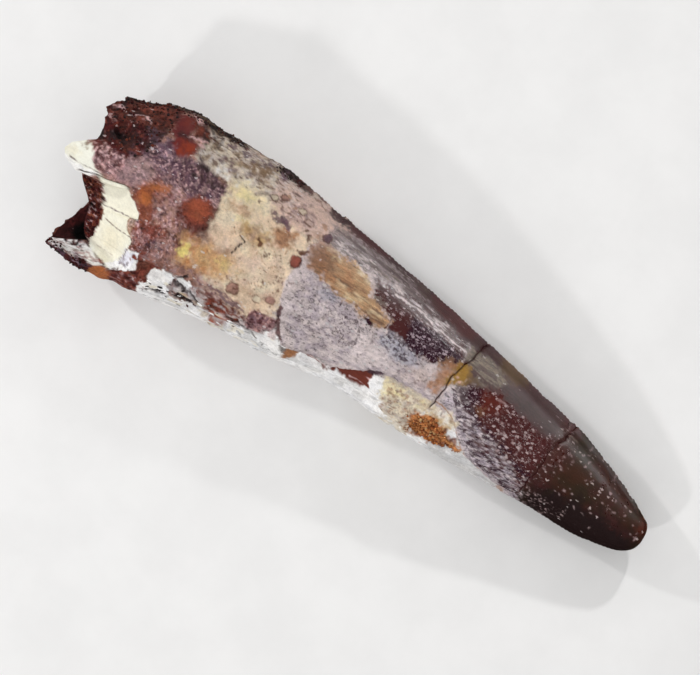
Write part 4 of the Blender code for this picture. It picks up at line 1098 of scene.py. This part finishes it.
def cavity_rows(angles):
    """Rows of points from near the blind end of the pulp cavity out to its mouth, roughened by noise."""
    depth = np.linspace(0.985, 0.0, CAVITY_ROWS)[:, None]
    mouth = rim_place(angles, 4)
    turned = angles + (rim_place(angles, 3) - angles) * (1 - depth) ** 2
    wall = cavity(mouth + (CAVITY_END_X - mouth) * depth, turned)
    rough = np.stack([0.35 * lumps(wall, 3.0, seed) + 0.12 * lumps(wall, 0.8, seed + 40, 40)
                      for seed in (5, 6, 7)], axis=-1)
    wall = wall + step(depth, 0, 0.1)[..., None] * rough
    near_edge = step(-wall[..., 1], 8.5, 12.0) * 0.12 + 0.03
    # Deeper in, the wall is painted near black: painted shade inside the hollow.
    deep = step(depth + 0.06 * lumps(wall, 1.6, 51), near_edge, near_edge + 0.05)[..., None]
    patchy = step(lumps(wall, 1.1, 55), -0.3, 0.5)[..., None]
    lip = finish("hollow_rust") * (1 - patchy) + finish("maroon_crust") * patchy
    return wall, lip * (1 - deep) + finish("painted_hollow_shade") * deep


def rim_rows(angles, inner, outer):
    """The broken face between the cavity's mouth and the outer skin, slightly hollowed. It is bare dentine
    where the break is fresh and along the side wall, and crust elsewhere."""
    share = (np.arange(1, RIM_ROWS + 1) / (RIM_ROWS + 1))[:, None]
    face = inner + (outer - inner) * share[..., None]
    hollow = 4 * share * (1 - share)
    width = np.linalg.norm(outer - inner, axis=-1)
    face[..., 0] += 0.07 * hollow * width
    face[..., 2] -= 0.06 * hollow * width * (outer[..., 2] > CAVITY_MID[1])
    turned = np.broadcast_to(angles, face.shape[:2])
    found, height = painted(face, np.minimum(turned, 170.0), MARKS + RIM_MARKS)
    bare = step(turned, 63, 66) * (1 - step(turned, 176, 184))
    rust = step(lumps(face, 1.1, 53), -0.4, 0.6)[..., None]
    crust = finish("rusty_crust") + rust * (finish("black_crust") - finish("rusty_crust"))
    found += ((1 - bare) * step(1 - share, 0.0, 0.3))[..., None] * (crust - found)
    rough = found[..., 7] * mixed_lumps(face, FINE_LUMPS)
    face[..., 2] += (rough + height) * bare
    face[..., 0] += rough * (1 - bare)
    return face, found

# %% [markdown]
# ## Four lofts
# One mesh this fine would have too many triangles, so the skin is parted where the tooth itself is: at the
# margin of the enamel and at the two glued breaks. Every part is closed by a cap. Columns lie closer
# together on the upper half, on the keel and where the rim splits.

# %% Lofts
COLUMNS = 400
ROOT_ROW = 0.21  # one row of the root, in millimetres
CROWN_ROW = 0.165
TIP_CROWDING = 1.15  # how much closer the rows lie towards the point


def column_angles():
    """Angles of the columns. The upper half has three times the density of the lower one."""
    def density(angle):
        splits = sum(bell(angle, place, 4.0) for place in SPLITS)
        upper = 0.32 + 0.68 * (step(angle, -4, 4) - step(angle, 186, 196)) + 0.68 * step(angle, 352, 358)
        return upper + 0.6 * splits + 0.5 * along_keel(angle, 6.0)

    return spread(0.0, 360.0, COLUMNS + 1, density)[:-1]


def root_rows(angles):
    """Rows of skin from the ragged rim to the margin of the enamel. Rows near the rim follow its outline,
    and they straighten along the tooth."""
    places = spread(ROOT_X, ENAMEL_X, int((ENAMEL_X - ROOT_X) / ROOT_ROW),
                    lambda x: 1.0 + 0.5 * bell(x, -50, 8))[:, None]
    share = np.clip((STRAIGHT_X - places) / (STRAIGHT_X - ROOT_X), 0.0, 1.0)
    turn = np.radians(angles)
    around = np.stack([np.cos(turn), np.sin(turn), 0 * turn], axis=-1) * 13.0
    crusty = 1 - step(angles, 60, 66) * (1 - step(angles, 168, 176))
    jagged = RIM_JAGS * crusty * (0.6 * lumps(around, 1.3, 61) + 0.4 * lumps(around, 0.6, 62, 40))
    x = np.where(share > 0, STRAIGHT_X - (STRAIGHT_X - rim_place(angles, 2) - jagged) * share, places)
    turned = angles + (rim_place(angles, 1) - angles) * share ** 4
    return skin(x, turned)


def crown_rows(angles, low, high):
    """Rows of skin between two ends. An end is a plain x, or the name of a glued break, whose line it
    follows at half the gap's width."""
    ends = []
    for end, side in ((low, 1), (high, -1)):
        if end in BREAKS:
            place, gap, _, filled = BREAKS[end]
            ends.append(place + break_line(angles, place) + side * gap / 2 * open_share(angles, filled))
        else:
            ends.append(np.full(angles.shape, end))
    count = int((np.mean(ends[1]) - np.mean(ends[0])) / CROWN_ROW)
    share = np.linspace(0, 1, count)[:, None]
    if high not in BREAKS:
        share = 1 - (1 - share) ** TIP_CROWDING
    x = ends[0] + (ends[1] - ends[0]) * share
    return skin(x, np.broadcast_to(angles, x.shape))


def closed_loft(rows, found, first, last):
    """A loft closed by one point at each end: its points, quads, triangles, and the finish of each point."""
    count, columns = rows.shape[:2]
    points = np.concatenate([first[None, :], rows.reshape(-1, 3), last[None, :]])
    here = 1 + np.arange(count * columns).reshape(count, columns)
    after = np.roll(here, -1, axis=1)
    quads = np.stack([here[:-1], after[:-1], after[1:], here[1:]], axis=-1).reshape(-1, 4)
    end = len(points) - 1
    start_fan = np.stack([np.zeros(columns, int), after[0], here[0]], axis=-1)
    end_fan = np.stack([here[-1], after[-1], np.full(columns, end)], axis=-1)
    flat = found.reshape(-1, found.shape[-1])
    finishes = np.concatenate([flat[:columns].mean(axis=0)[None], flat, flat[-columns:].mean(axis=0)[None]])
    return points, quads, np.concatenate([start_fan, end_fan]), finishes


def build_mesh(name, points, quads, triangles, finishes):
    """A mesh in metres from arrays of points and faces. The finish of each point becomes three attributes:
    its colour, its grains (pale, dark, streaks) and its surface (roughness, lumps)."""
    mesh = bpy.data.meshes.new(name)
    mesh.vertices.add(len(points))
    mesh.vertices.foreach_set("co", (points * MM).astype(np.float32).ravel())
    corners = np.concatenate([quads.ravel(), triangles.ravel()]).astype(np.int32)
    mesh.loops.add(len(corners))
    mesh.loops.foreach_set("vertex_index", corners)
    sizes = np.concatenate([np.full(len(quads), 4), np.full(len(triangles), 3)])
    mesh.polygons.add(len(sizes))
    mesh.polygons.foreach_set("loop_start", (np.cumsum(sizes) - sizes).astype(np.int32))
    mesh.update(calc_edges=True)
    mesh.validate()
    mesh.shade_smooth()
    mesh.set_sharp_from_angle(angle=np.radians(55))
    ones = np.ones((len(points), 1))
    for title, columns in (("paint", (0, 1, 2)), ("grains", (3, 4, 5)), ("surface", (6, 7, 7))):
        attribute = mesh.attributes.new(title, "FLOAT_COLOR", "POINT")
        values = np.hstack([finishes[:, columns], ones]).astype(np.float32)
        attribute.data.foreach_set("color", values.ravel())
    return mesh


def add_piece(name, mesh, material):
    """A piece as an object at the origin. It rides on the tooth's body and stands for its solid."""
    piece = bpy.data.objects.new(name, mesh)
    bpy.context.scene.collection.objects.link(piece)
    mesh.materials.append(material)
    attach(piece, "root")
    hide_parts("tooth")
    mesh.calc_loop_triangles()
    print(name, len(mesh.vertices), "vertices", len(mesh.loop_triangles), "triangles")

# %% [markdown]
# ## The material
# The attributes hold what changes over millimetres. What changes over tenths of a millimetre is left to the
# shader: mottling, streaks, and round grains and specks. Its nodes could be wired by hand. A small class that
# makes and links them turns the wiring into formulas that can be read.

# %% Shader helpers
class Shader:
    """Adds nodes to a material or to the world, and links them. Ends holds the inputs of the last node."""

    def __init__(self, owner, last="Principled BSDF"):
        owner.use_nodes = True
        self.tree = owner.node_tree
        self.ends = self.tree.nodes[last].inputs

    def put(self, value, socket):
        """Links a socket to an input, or sets the input to a value."""
        if isinstance(value, bpy.types.NodeSocket):
            self.tree.links.new(value, socket)
        else:
            socket.default_value = value

    def node(self, kind, inputs, **settings):
        """The outputs of a new node, with its settings made and its inputs set or linked."""
        made = self.tree.nodes.new("ShaderNode" + kind)
        for key, value in settings.items():
            setattr(made, key, value)
        for key, value in inputs.items():
            self.put(value, made.inputs[key])
        return made.outputs

    def math(self, operation, first, second=0.0, clamp=False):
        """One sum, product or comparison of two numbers."""
        return self.node("Math", {0: first, 1: second}, operation=operation, use_clamp=clamp)[0]

    def plus(self, total, *numbers):
        """A sum of numbers."""
        for number in numbers:
            total = self.math("ADD", total, number)
        return total

    def times(self, first, second):
        """A product of two numbers."""
        return self.math("MULTIPLY", first, second)

    def vector(self, operation, first, second):
        """One sum of two vectors, or a vector scaled by a number."""
        key = "Scale" if operation == "SCALE" else 1
        return self.node("VectorMath", {0: first, key: second}, operation=operation)[0]

    def mix(self, share, first, second, blend="MIX"):
        """Two colours mixed by a share."""
        return self.node("Mix", {0: share, 6: first, 7: second}, data_type="RGBA", blend_type=blend)[2]

    def between(self, share, first, second):
        """A number between two others."""
        return self.node("Mix", {0: share, 2: first, 3: second}, data_type="FLOAT")[0]

    def ramp(self, value, low, high, to_low=0.0, to_high=1.0):
        """A number moved smoothly from one range to another."""
        inputs = {"Value": value, 1: low, 2: high, 3: to_low, 4: to_high}
        return self.node("MapRange", inputs, interpolation_type="SMOOTHSTEP")[0]

    def noise(self, place, scale, detail, roughness=0.5):
        """Noise from 0 to 1 over a place, and three such numbers as a colour."""
        inputs = {"Vector": place, "Scale": scale, "Detail": detail, "Roughness": roughness}
        return self.node("TexNoise", inputs)

    def stretched(self, place, share):
        """The place scaled by a share along the tooth, which draws a pattern out that way."""
        return self.node("Mapping", {"Vector": place, "Scale": (share, 1.0, 1.0)})[0]

    def three(self, colour, **settings):
        """The three numbers of a colour."""
        return list(self.node("SeparateColor", {0: colour}, **settings))

    def paler(self, colour, tint, bright):
        """The same hue with less saturation, at one brightness."""
        hue, saturation, _ = self.three(colour, mode="HSV")
        return self.node("CombineColor", {0: hue, 1: self.times(saturation, tint), 2: bright}, mode="HSV")[0]

    def attribute(self, name):
        """The colour that an attribute of the mesh holds."""
        return self.node("Attribute", {}, attribute_name=name)["Color"]

# %% [markdown]
# Noise of several sizes makes the patterns. A grain is a cell of a Voronoi pattern. The cell shows only where
# its random number is below the share of grains that the attribute asks for, so a place with twice the share
# has twice the grains. Ragged specks of noise lie between the grains, so they don't all look alike.

# %% Grains and specks
PATTERNS = {
    # repeats per metre, detail and roughness of each noise
    "shift": (2600.0, 2.0),
    "mottle": (750.0, 6.0, 0.75),
    "warmth": (330.0, 4.0, 0.6),
    "grit": (2300.0, 4.0, 0.8),
    "fibre": (3000.0, 3.0, 0.75),
    "fine specks": (2500.0, 3.0, 0.85),
    "coarse specks": (1300.0, 4.0, 0.8),
}


def grains(shader, place, scale, wanted):
    """Voronoi cells whose random number is below the wanted share. Each fills its own part of its cell."""
    cells = shader.node("TexVoronoi", {"Vector": place, "Scale": scale, "Randomness": 1.0})
    random = shader.three(cells["Color"])
    radius = shader.plus(shader.times(random[1], 0.36), 0.2)
    ratio = shader.math("DIVIDE", cells["Distance"], radius)
    return shader.times(shader.math("LESS_THAN", random[0], wanted), shader.ramp(ratio, 1.1, 0.75))


def specks(shader, place, lumpy, wanted):
    """Ragged specks where noise passes a threshold: 0.77 minus 0.42 times the root of the wanted share. They
    are finer on smooth finishes than on lumpy ones."""
    fine, coarse = (shader.noise(place, *PATTERNS[name])[0] for name in ("fine specks", "coarse specks"))
    threshold = shader.math("SUBTRACT", 0.77, shader.times(shader.math("SQRT", wanted), 0.42))
    over = shader.math("SUBTRACT", shader.between(lumpy, fine, coarse), threshold)
    return shader.ramp(over, 0.0, 0.06)

# %% [markdown]
# Colour, gloss and bump come from the same patterns, so a pale grain is also a small bump and a little less
# glossy. Noise first shifts the place where a pattern is read, which breaks up the round grains. Mottling is
# strong on lumpy crust and faint on smooth dentine, so it takes its strength from the finish. Root and crown
# have the same patterns. They differ in the colour of their pale grains and in how much they mirror.

# %% The fossil material
GRAIN_SCALE = 2100.0  # cells of grain per metre
DRAWN = {"fibre": 0.16, "pale": 0.55, "dark": 0.6}  # a low share draws a pattern far out along the tooth
APART = (0.031, 0.017, 0.023)  # metres between the dark pattern and the pale one
SHIFT = 0.00056  # metres that noise may shift a pattern
BUMP_DEPTH = 0.00025  # metres
CONTRAST = (2.4, 0.25)  # of the mottling: for each unit of lumpiness, and on a smooth finish
STREAK_CONTRAST = 3.2
DARKEST = 0.12  # the least that is left of the brightness
WARM = (1.0, 0.93, 0.86, 1.0)
COOL = (1.0, 0.99, 1.04, 1.0)
GRAIN_TINT = 0.32  # how much of the finish's saturation a pale grain keeps
SPECK_SHADE = 0.3  # how much of the brightness a dark speck keeps
COVER = 0.75  # how much of the finish a grain or speck hides


def fossil_material(name, bright, mirrors):
    """Fossil dentine or enamel: the painted finish, mottled, streaked, gritty and grained. Bright is how
    light its pale grains are."""
    material = bpy.data.materials.new(name)
    shader = Shader(material)
    place = shader.node("TexCoord", {})["Object"]
    colour = shader.attribute("paint")
    pale, dark, streak = shader.three(shader.attribute("grains"))
    roughness, lumpy, _ = shader.three(shader.attribute("surface"))

    shift = shader.vector("SUBTRACT", shader.noise(place, *PATTERNS["shift"])["Color"], (0.5, 0.5, 0.5))
    bent = shader.vector("ADD", place, shader.vector("SCALE", shift, SHIFT))
    mottle = shader.noise(place, *PATTERNS["mottle"])[0]
    warmth = shader.noise(place, *PATTERNS["warmth"])[0]
    grit = shader.noise(bent, *PATTERNS["grit"])[0]
    fibre = shader.noise(shader.stretched(bent, DRAWN["fibre"]), *PATTERNS["fibre"])[0]

    def swing(pattern, strength):
        """How far a pattern moves the brightness: its distance from 0.5 times the strength."""
        return shader.times(shader.math("SUBTRACT", pattern, 0.5), strength)

    deep = shader.plus(shader.times(lumpy, CONTRAST[0]), CONTRAST[1])
    streaks = swing(fibre, shader.times(streak, STREAK_CONTRAST))
    light = shader.math("MAXIMUM", shader.plus(1.0, swing(mottle, deep), swing(grit, deep), streaks), DARKEST)
    toned = shader.vector("SCALE", colour, light)
    tint = shader.mix(shader.ramp(warmth, 0.35, 0.65), WARM, COOL)
    toned = shader.mix(lumpy, toned, shader.mix(1.0, toned, tint, "MULTIPLY"))

    long_way = shader.stretched(bent, DRAWN["pale"])
    pale_mask = shader.math("MAXIMUM", grains(shader, long_way, GRAIN_SCALE, shader.times(pale, 0.9)),
                            specks(shader, long_way, lumpy, shader.times(pale, 0.7)))
    apart = shader.stretched(shader.vector("ADD", bent, APART), DRAWN["dark"])
    dark_mask = specks(shader, apart, lumpy, dark)
    body = shader.mix(shader.times(dark_mask, COVER), toned, shader.vector("SCALE", toned, SPECK_SHADE))
    body = shader.mix(shader.times(pale_mask, COVER), body, shader.paler(colour, GRAIN_TINT, bright))
    shader.put(body, shader.ends["Base Color"])

    dull = shader.plus(roughness, shader.times(pale_mask, 0.12))
    shader.put(shader.math("ADD", dull, swing(mottle, 0.4), clamp=True), shader.ends["Roughness"])

    bumps = shader.plus(shader.times(shader.plus(mottle, grit), lumpy), shader.times(pale_mask, 0.2))
    bumps = shader.math("SUBTRACT", bumps, shader.times(dark_mask, 0.25))
    bumps = shader.plus(bumps, swing(fibre, shader.times(streak, 0.7)))
    bump = shader.node("Bump", {"Height": bumps, "Distance": BUMP_DEPTH, "Strength": 0.85})
    shader.put(bump[0], shader.ends["Normal"])
    shader.put(mirrors, shader.ends["Specular IOR Level"])
    return material


root_material = fossil_material("root_dentine", 0.65, 0.3)
crown_material = fossil_material("crown_enamel", 0.55, 0.6)
print("materials", root_material.name, crown_material.name)

# %% [markdown]
# ## Making the four parts
# The root is three strips of rows in one loft: the cavity, its broken rim and the skin. The crown's three
# parts are skin alone. A cap's middle point lies a little inside, so that the glued faces look broken.

# %% The parts of the tooth
def middle_point(x):
    """The middle of the section at x."""
    mid_y, _, mid_z, _ = section(np.array([x]))
    return np.array([x, mid_y[0], mid_z[0]])


angles = column_angles()
wall, wall_finish = cavity_rows(angles)
root_skin, root_finish = root_rows(angles)
rim, rim_finish = rim_rows(angles, wall[-1], root_skin[0])
grids = [np.concatenate([wall, rim, root_skin])]
root_paint = np.concatenate([wall_finish, rim_finish, root_finish])
blind_end = np.array([CAVITY_END_X, *CAVITY_MID])
root_loft = closed_loft(grids[0], root_paint, blind_end, middle_point(ENAMEL_X))
add_piece("broken_root", build_mesh("broken_root", *root_loft), root_material)

LAST_ROW_X = TIP_X - 0.06
MIDDLES = {**{name: BREAKS[name][0] for name in BREAKS}, ENAMEL_X: ENAMEL_X, LAST_ROW_X: TIP_X}
CROWN_PARTS = (
    ("crown_base", ENAMEL_X, "first"),
    ("crown_middle", "first", "second"),
    ("crown_tip", "second", LAST_ROW_X),
)
for name, *ends in CROWN_PARTS:
    rows, found = crown_rows(angles, *ends)
    grids.append(rows)
    caps = [middle_point(MIDDLES[end]) for end in ends]
    add_piece(name, build_mesh(name, *closed_loft(rows, found, *caps)), crown_material)

# %% [markdown]
# ## Loose grains
# Sandstone still fills a pocket beside the first break. Granules cling to the crust, and splinters stand up
# along the -Y edge. Each is a solid of twenty sides, pulled out of shape and set on a point of the skin. A
# field is an area seen from above. It holds a number of grains of one size, made of the finishes that it
# names. A particle system could strew them. A seeded draw of points is plainer and always gives the same
# grains. There are about 1,100, so each has as few faces as it can.

# %% Grains
GRAIN_FIELDS = {
    # number, radius, how far they stand off the skin, finishes, corners of the field
    "sandstone_grains": (
        (210, 0.36, 0.12, ("sand_orange", "sand_orange", "sand_rust"),
         (13.8, -9.4, 16.5, -8, 18.4, -8.8, 20.4, -10, 22.4, -10.8, 19.2, -11.6, 17, -11.8, 14, -11.2)),
        (60, 0.26, 0.40, ("sand_orange", "sand_orange", "gold"),
         (14.6, -9.4, 16.5, -8.6, 18.4, -9.4, 20, -10.4, 18.4, -11.2, 15.4, -11)),
        (50, 0.18, 0.05, ("sand_rust", "tan_brown"),
         (12.2, -10, 14.2, -8.8, 21.2, -9.6, 23.8, -10.8, 21, -11.6, 13, -12.2)),
    ),
    "crust_granules": (
        (260, 0.26, 0.05, ("rusty_crust", "maroon_crust", "black_crust"),
         (-54.4, 9.6, -52, 13.4, -48, 14.6, -44.4, 15.4, -43.6, 11, -46, 4, -53.4, 4.4)),
        (120, 0.22, 0.02, ("black_crust", "black_crust", "maroon_crust"),
         (-56, 11.4, -50, 15, -45, 17, -34, 16.6, -32.4, 15, -36, 14.9, -44.6, 14.6, -50, 13.6)),
        (70, 0.20, 0.02, ("black_crust", "keel_brown"),
         (-26.2, 15.2, -20.6, 14.6, -20.8, 13.8, -25.8, 14.2)),
        (130, 0.34, 0.05, ("rusty_crust", "maroon_crust", "maroon_crust"),
         (-53, -2.4, -50.6, -2, -49, -2.8, -48.4, -5, -47, -6.4, -46.8, -10.6, -48, -10.8, -49, -6,
          -51.4, -4.2)),
        (80, 0.24, 0.05, ("maroon_crust", "black_crust"),
         (-53.6, -14, -46, -14, -44.8, -14.8, -44.8, -17, -54, -17)),
    ),
    "edge_splinters": (
        (110, 0.26, 0.02, ("white_chalk", "grey_chalk_and_shade", "white_chalk"),
         (-35, -11, -22, -11, -10, -10.8, -10, -13.5, -35, -14.5)),
        (26, 0.20, 0.02, ("black_crust", "maroon_crust"),
         (-35, -10.4, -26, -10, -19, -10.4, -19, -12, -35, -13)),
    ),
}
LYING = "edge_splinters"  # these lie flat on the skin
SPLINTER_SHAPE = (2.2, 0.8, 0.35)  # length, width and height for one radius
SPLINTER_TILT = 0.25
PEBBLE_SHAPE = (0.6, 1.2)  # the least and the most on each axis
GRAIN_SPREAD = (0.5, 1.25)  # the smallest and the largest for one radius
CORNER_SPREAD = (0.75, 1.2)  # how far its corners are pulled
TONE_SPREAD = (0.75, 1.1)
JITTER = 0.08  # millimetres off the point of the skin


def pebble():
    """A regular solid of twenty sides, as points and triangles."""
    shape = bmesh.new()
    bmesh.ops.create_icosphere(shape, subdivisions=1, radius=1.0)
    shape.verts.index_update()
    points = np.array([corner.co for corner in shape.verts])
    sides = np.array([[corner.index for corner in side.verts] for side in shape.faces])
    shape.free()
    return points, sides


def unit(ways):
    """The same directions, each with a length of 1."""
    return ways / np.maximum(np.linalg.norm(ways, axis=-1, keepdims=True), 1e-9)


def outward(rows):
    """The direction square to the skin at every point of a grid."""
    around = np.roll(rows, -1, axis=1) - np.roll(rows, 1, axis=1)
    return unit(np.cross(around, np.gradient(rows, axis=0)))


def turned_frames(rng, ways, lying):
    """Three square directions for each grain. Those of a splinter lie along the tooth and on the skin, with
    a small tilt. Those of a pebble are random."""
    along = np.array([1.0, 0.0, 0.0]) + SPLINTER_TILT * rng.normal(size=(len(ways), 3))
    if not lying:
        along, ways = rng.normal(size=(2, len(ways), 3))
    across = unit(np.cross(ways, along))
    along = unit(np.cross(across, ways))
    return np.stack([along, across, np.cross(along, across)], axis=1)


def scattered(points, ways, field, rng, lying):
    """The grains of one field: the corners of each, and the finish of each corner."""
    number, radius, stand_off, names, outline = field
    inside = depth_inside(area(names[0], 0, 0, *outline), points[:, 0], points[:, 1]) > 0
    chosen = rng.choice(np.flatnonzero(inside & (ways[:, 2] > 0.1)), number)
    size = radius * rng.uniform(*GRAIN_SPREAD, (number, 1))
    shape = np.array(SPLINTER_SHAPE) if lying else rng.uniform(*PEBBLE_SHAPE, (number, 3))
    middle = points[chosen] + ways[chosen] * stand_off * rng.uniform(0.0, 1.0, (number, 1))
    middle = middle + rng.uniform(-JITTER, JITTER, (number, 3))
    pulled = rng.uniform(*CORNER_SPREAD, (number, len(pebble_points), 1))
    solid = pebble_points * (size * shape)[:, None] * pulled
    corners = middle[:, None] + solid @ turned_frames(rng, ways[chosen], lying)
    found = np.array([finish(name) for name in names])[rng.integers(len(names), size=number)]
    found[:, :3] *= rng.uniform(*TONE_SPREAD, (number, 1))
    return corners.reshape(-1, 3), np.repeat(found, len(pebble_points), axis=0)


pebble_points, pebble_sides = pebble()
skin_points = np.concatenate([rows.reshape(-1, 3) for rows in grids])
skin_ways = np.concatenate([outward(rows).reshape(-1, 3) for rows in grids])
for seed, (name, fields) in enumerate(GRAIN_FIELDS.items()):
    rng = np.random.default_rng(500 + seed)
    made = [scattered(skin_points, skin_ways, field, rng, name == LYING) for field in fields]
    corners, found = (np.concatenate(parts) for parts in zip(*made))
    corners[:, 2] = np.clip(corners[:, 2], 0.0, None)
    starts = np.arange(0, len(corners), len(pebble_points))[:, None, None]
    triangles = (pebble_sides + starts).reshape(-1, 3)
    mesh = build_mesh(name, corners, np.zeros((0, 4), int), triangles, found)
    add_piece(name, mesh, root_material)

# %% [markdown]
# ## Floor and light
# The floor is plain and pale. It glows a little, as the top of a light table does, so the shadows stay faint.
# The glow fades towards the tip, where the shadows are deeper. Light comes as in a light tent, soft and from
# all round. Three lamps add the shadows: a long one to the upper right, one along the tooth past its tip, and
# one on the -Y side, from a narrow beam on the tip. A low fourth lamp, long and thin, draws the line of gloss
# along the crown. Nothing else shows in the gloss, neither sky nor floor, so dark enamel stays dark.

# %% Floor
FLOOR_DEPTH = 0.00002  # metres under the tooth
FLOOR_TONES = (0.68, 0.72)  # of its faint clouds
# Past the tip the floor's colour darkens: painted shade, where the light on it is dimmer.
FLOOR_SHADE_PAST_TIP = 0.63  # the tone that it darkens to past the tip
TIP_REACH = (0.055, 0.10)  # from one x to another
FLOOR_GLOW = (0.20, 0.05)  # at the root and past the tip


def grey(tone):
    """A grey colour of one tone."""
    return (tone, tone, tone, 1.0)


def make_floor():
    """A wide floor with a faint unevenness, just under the tooth."""
    shape = bmesh.new()
    bmesh.ops.create_grid(shape, x_segments=8, y_segments=8, size=1.5)
    mesh = bpy.data.meshes.new("floor")
    shape.to_mesh(mesh)
    shape.free()
    mesh.transform(Matrix.Translation((0, 0, -FLOOR_DEPTH)))
    mesh.materials.append(bpy.data.materials.new("pale_floor"))
    shader = Shader(mesh.materials[0])
    place = shader.node("TexCoord", {})["Object"]
    clouds = shader.ramp(shader.noise(place, 60.0, 4.0, 0.6)[0], 0.3, 0.7)
    along = shader.node("SeparateXYZ", {0: place})[0]
    paint = shader.mix(clouds, grey(FLOOR_TONES[0]), grey(FLOOR_TONES[1]))
    # painted shade: the floor darkens past the tip
    paint = shader.mix(shader.ramp(along, *TIP_REACH), paint, grey(FLOOR_SHADE_PAST_TIP))
    glow = shader.ramp(along, -0.08, 0.08, *FLOOR_GLOW)
    for name, value in (("Base Color", paint), ("Emission Color", grey(1.0)), ("Emission Strength", glow),
                        ("Roughness", 0.7), ("Specular IOR Level", 0.1)):
        shader.put(value, shader.ends[name])
    floor = bpy.data.objects.new("floor", mesh)
    bpy.context.scene.collection.objects.link(floor)
    floor.visible_glossy = False


make_floor()

# %% Light
LAMP_DISTANCE = 1.2
LIGHT_COLOUR = (1.0, 0.99, 0.98)
GLOSS_LAMP = "lamp_for_gloss"
LAMPS = {
    # direction in x and y, elevation in degrees, width and height in metres, power in watts. A beam also has
    # its full angle in degrees and the x it is aimed at.
    "lamp_shadow_upper_right": ((-0.365, -0.927), 36.0, 0.08, 0.08, 3.3),
    "lamp_from_root_end": ((-1.0, 0.13), 27.0, 0.06, 0.06, 4.2),
    "lamp_beam_on_tip": ((-0.12, 0.99), 33.0, 0.06, 0.06, 0.027, 13.0, 0.072),
    GLOSS_LAMP: ((0.32, 0.95), 5.0, 0.36, 0.045, 4.0),
}
SKY_OVERHEAD = 0.74
SKY_HORIZON = 0.36
SKY_HEIGHTS = (0.1, 0.6)  # heights of a unit direction between which the sky brightens


def make_lamp(name, direction, elevation, width, height, power, beam=180.0, aim=0.0):
    """A soft area lamp that looks at a point of the tooth's axis from its direction and elevation."""
    data = bpy.data.lights.new(name, "AREA")
    data.shape = "ELLIPSE"
    data.size = width
    data.size_y = height
    data.energy = power
    data.color = LIGHT_COLOUR
    data.spread = np.radians(beam)
    lamp = bpy.data.objects.new(name, data)
    level = np.cos(np.radians(elevation)) / np.hypot(*direction)
    way = Vector((direction[0] * level, direction[1] * level, np.sin(np.radians(elevation))))
    place = Vector((aim, 0, 0)) + way * LAMP_DISTANCE
    lamp.matrix_world = Matrix.Translation(place) @ way.to_track_quat("Z", "Y").to_matrix().to_4x4()
    bpy.context.scene.collection.objects.link(lamp)
    lamp.visible_glossy = name == GLOSS_LAMP
    lamp.visible_diffuse = name != GLOSS_LAMP


def make_sky():
    """Even light from all round, dimmer at the horizon. It doesn't show in the gloss."""
    world = bpy.data.worlds.new("tent")
    world.cycles_visibility.glossy = False
    shader = Shader(world, "Background")
    height = shader.node("SeparateXYZ", {0: shader.node("TexCoord", {})["Generated"]})[2]
    shader.put(shader.ramp(height, *SKY_HEIGHTS, SKY_HORIZON, SKY_OVERHEAD), shader.ends["Strength"])
    shader.put((*LIGHT_COLOUR, 1.0), shader.ends["Color"])
    bpy.context.scene.world = world


for name, values in LAMPS.items():
    make_lamp(name, *values)
make_sky()
bpy.context.scene.view_settings.view_transform = "Standard"
print(len(LAMPS), "lamps and a sky")
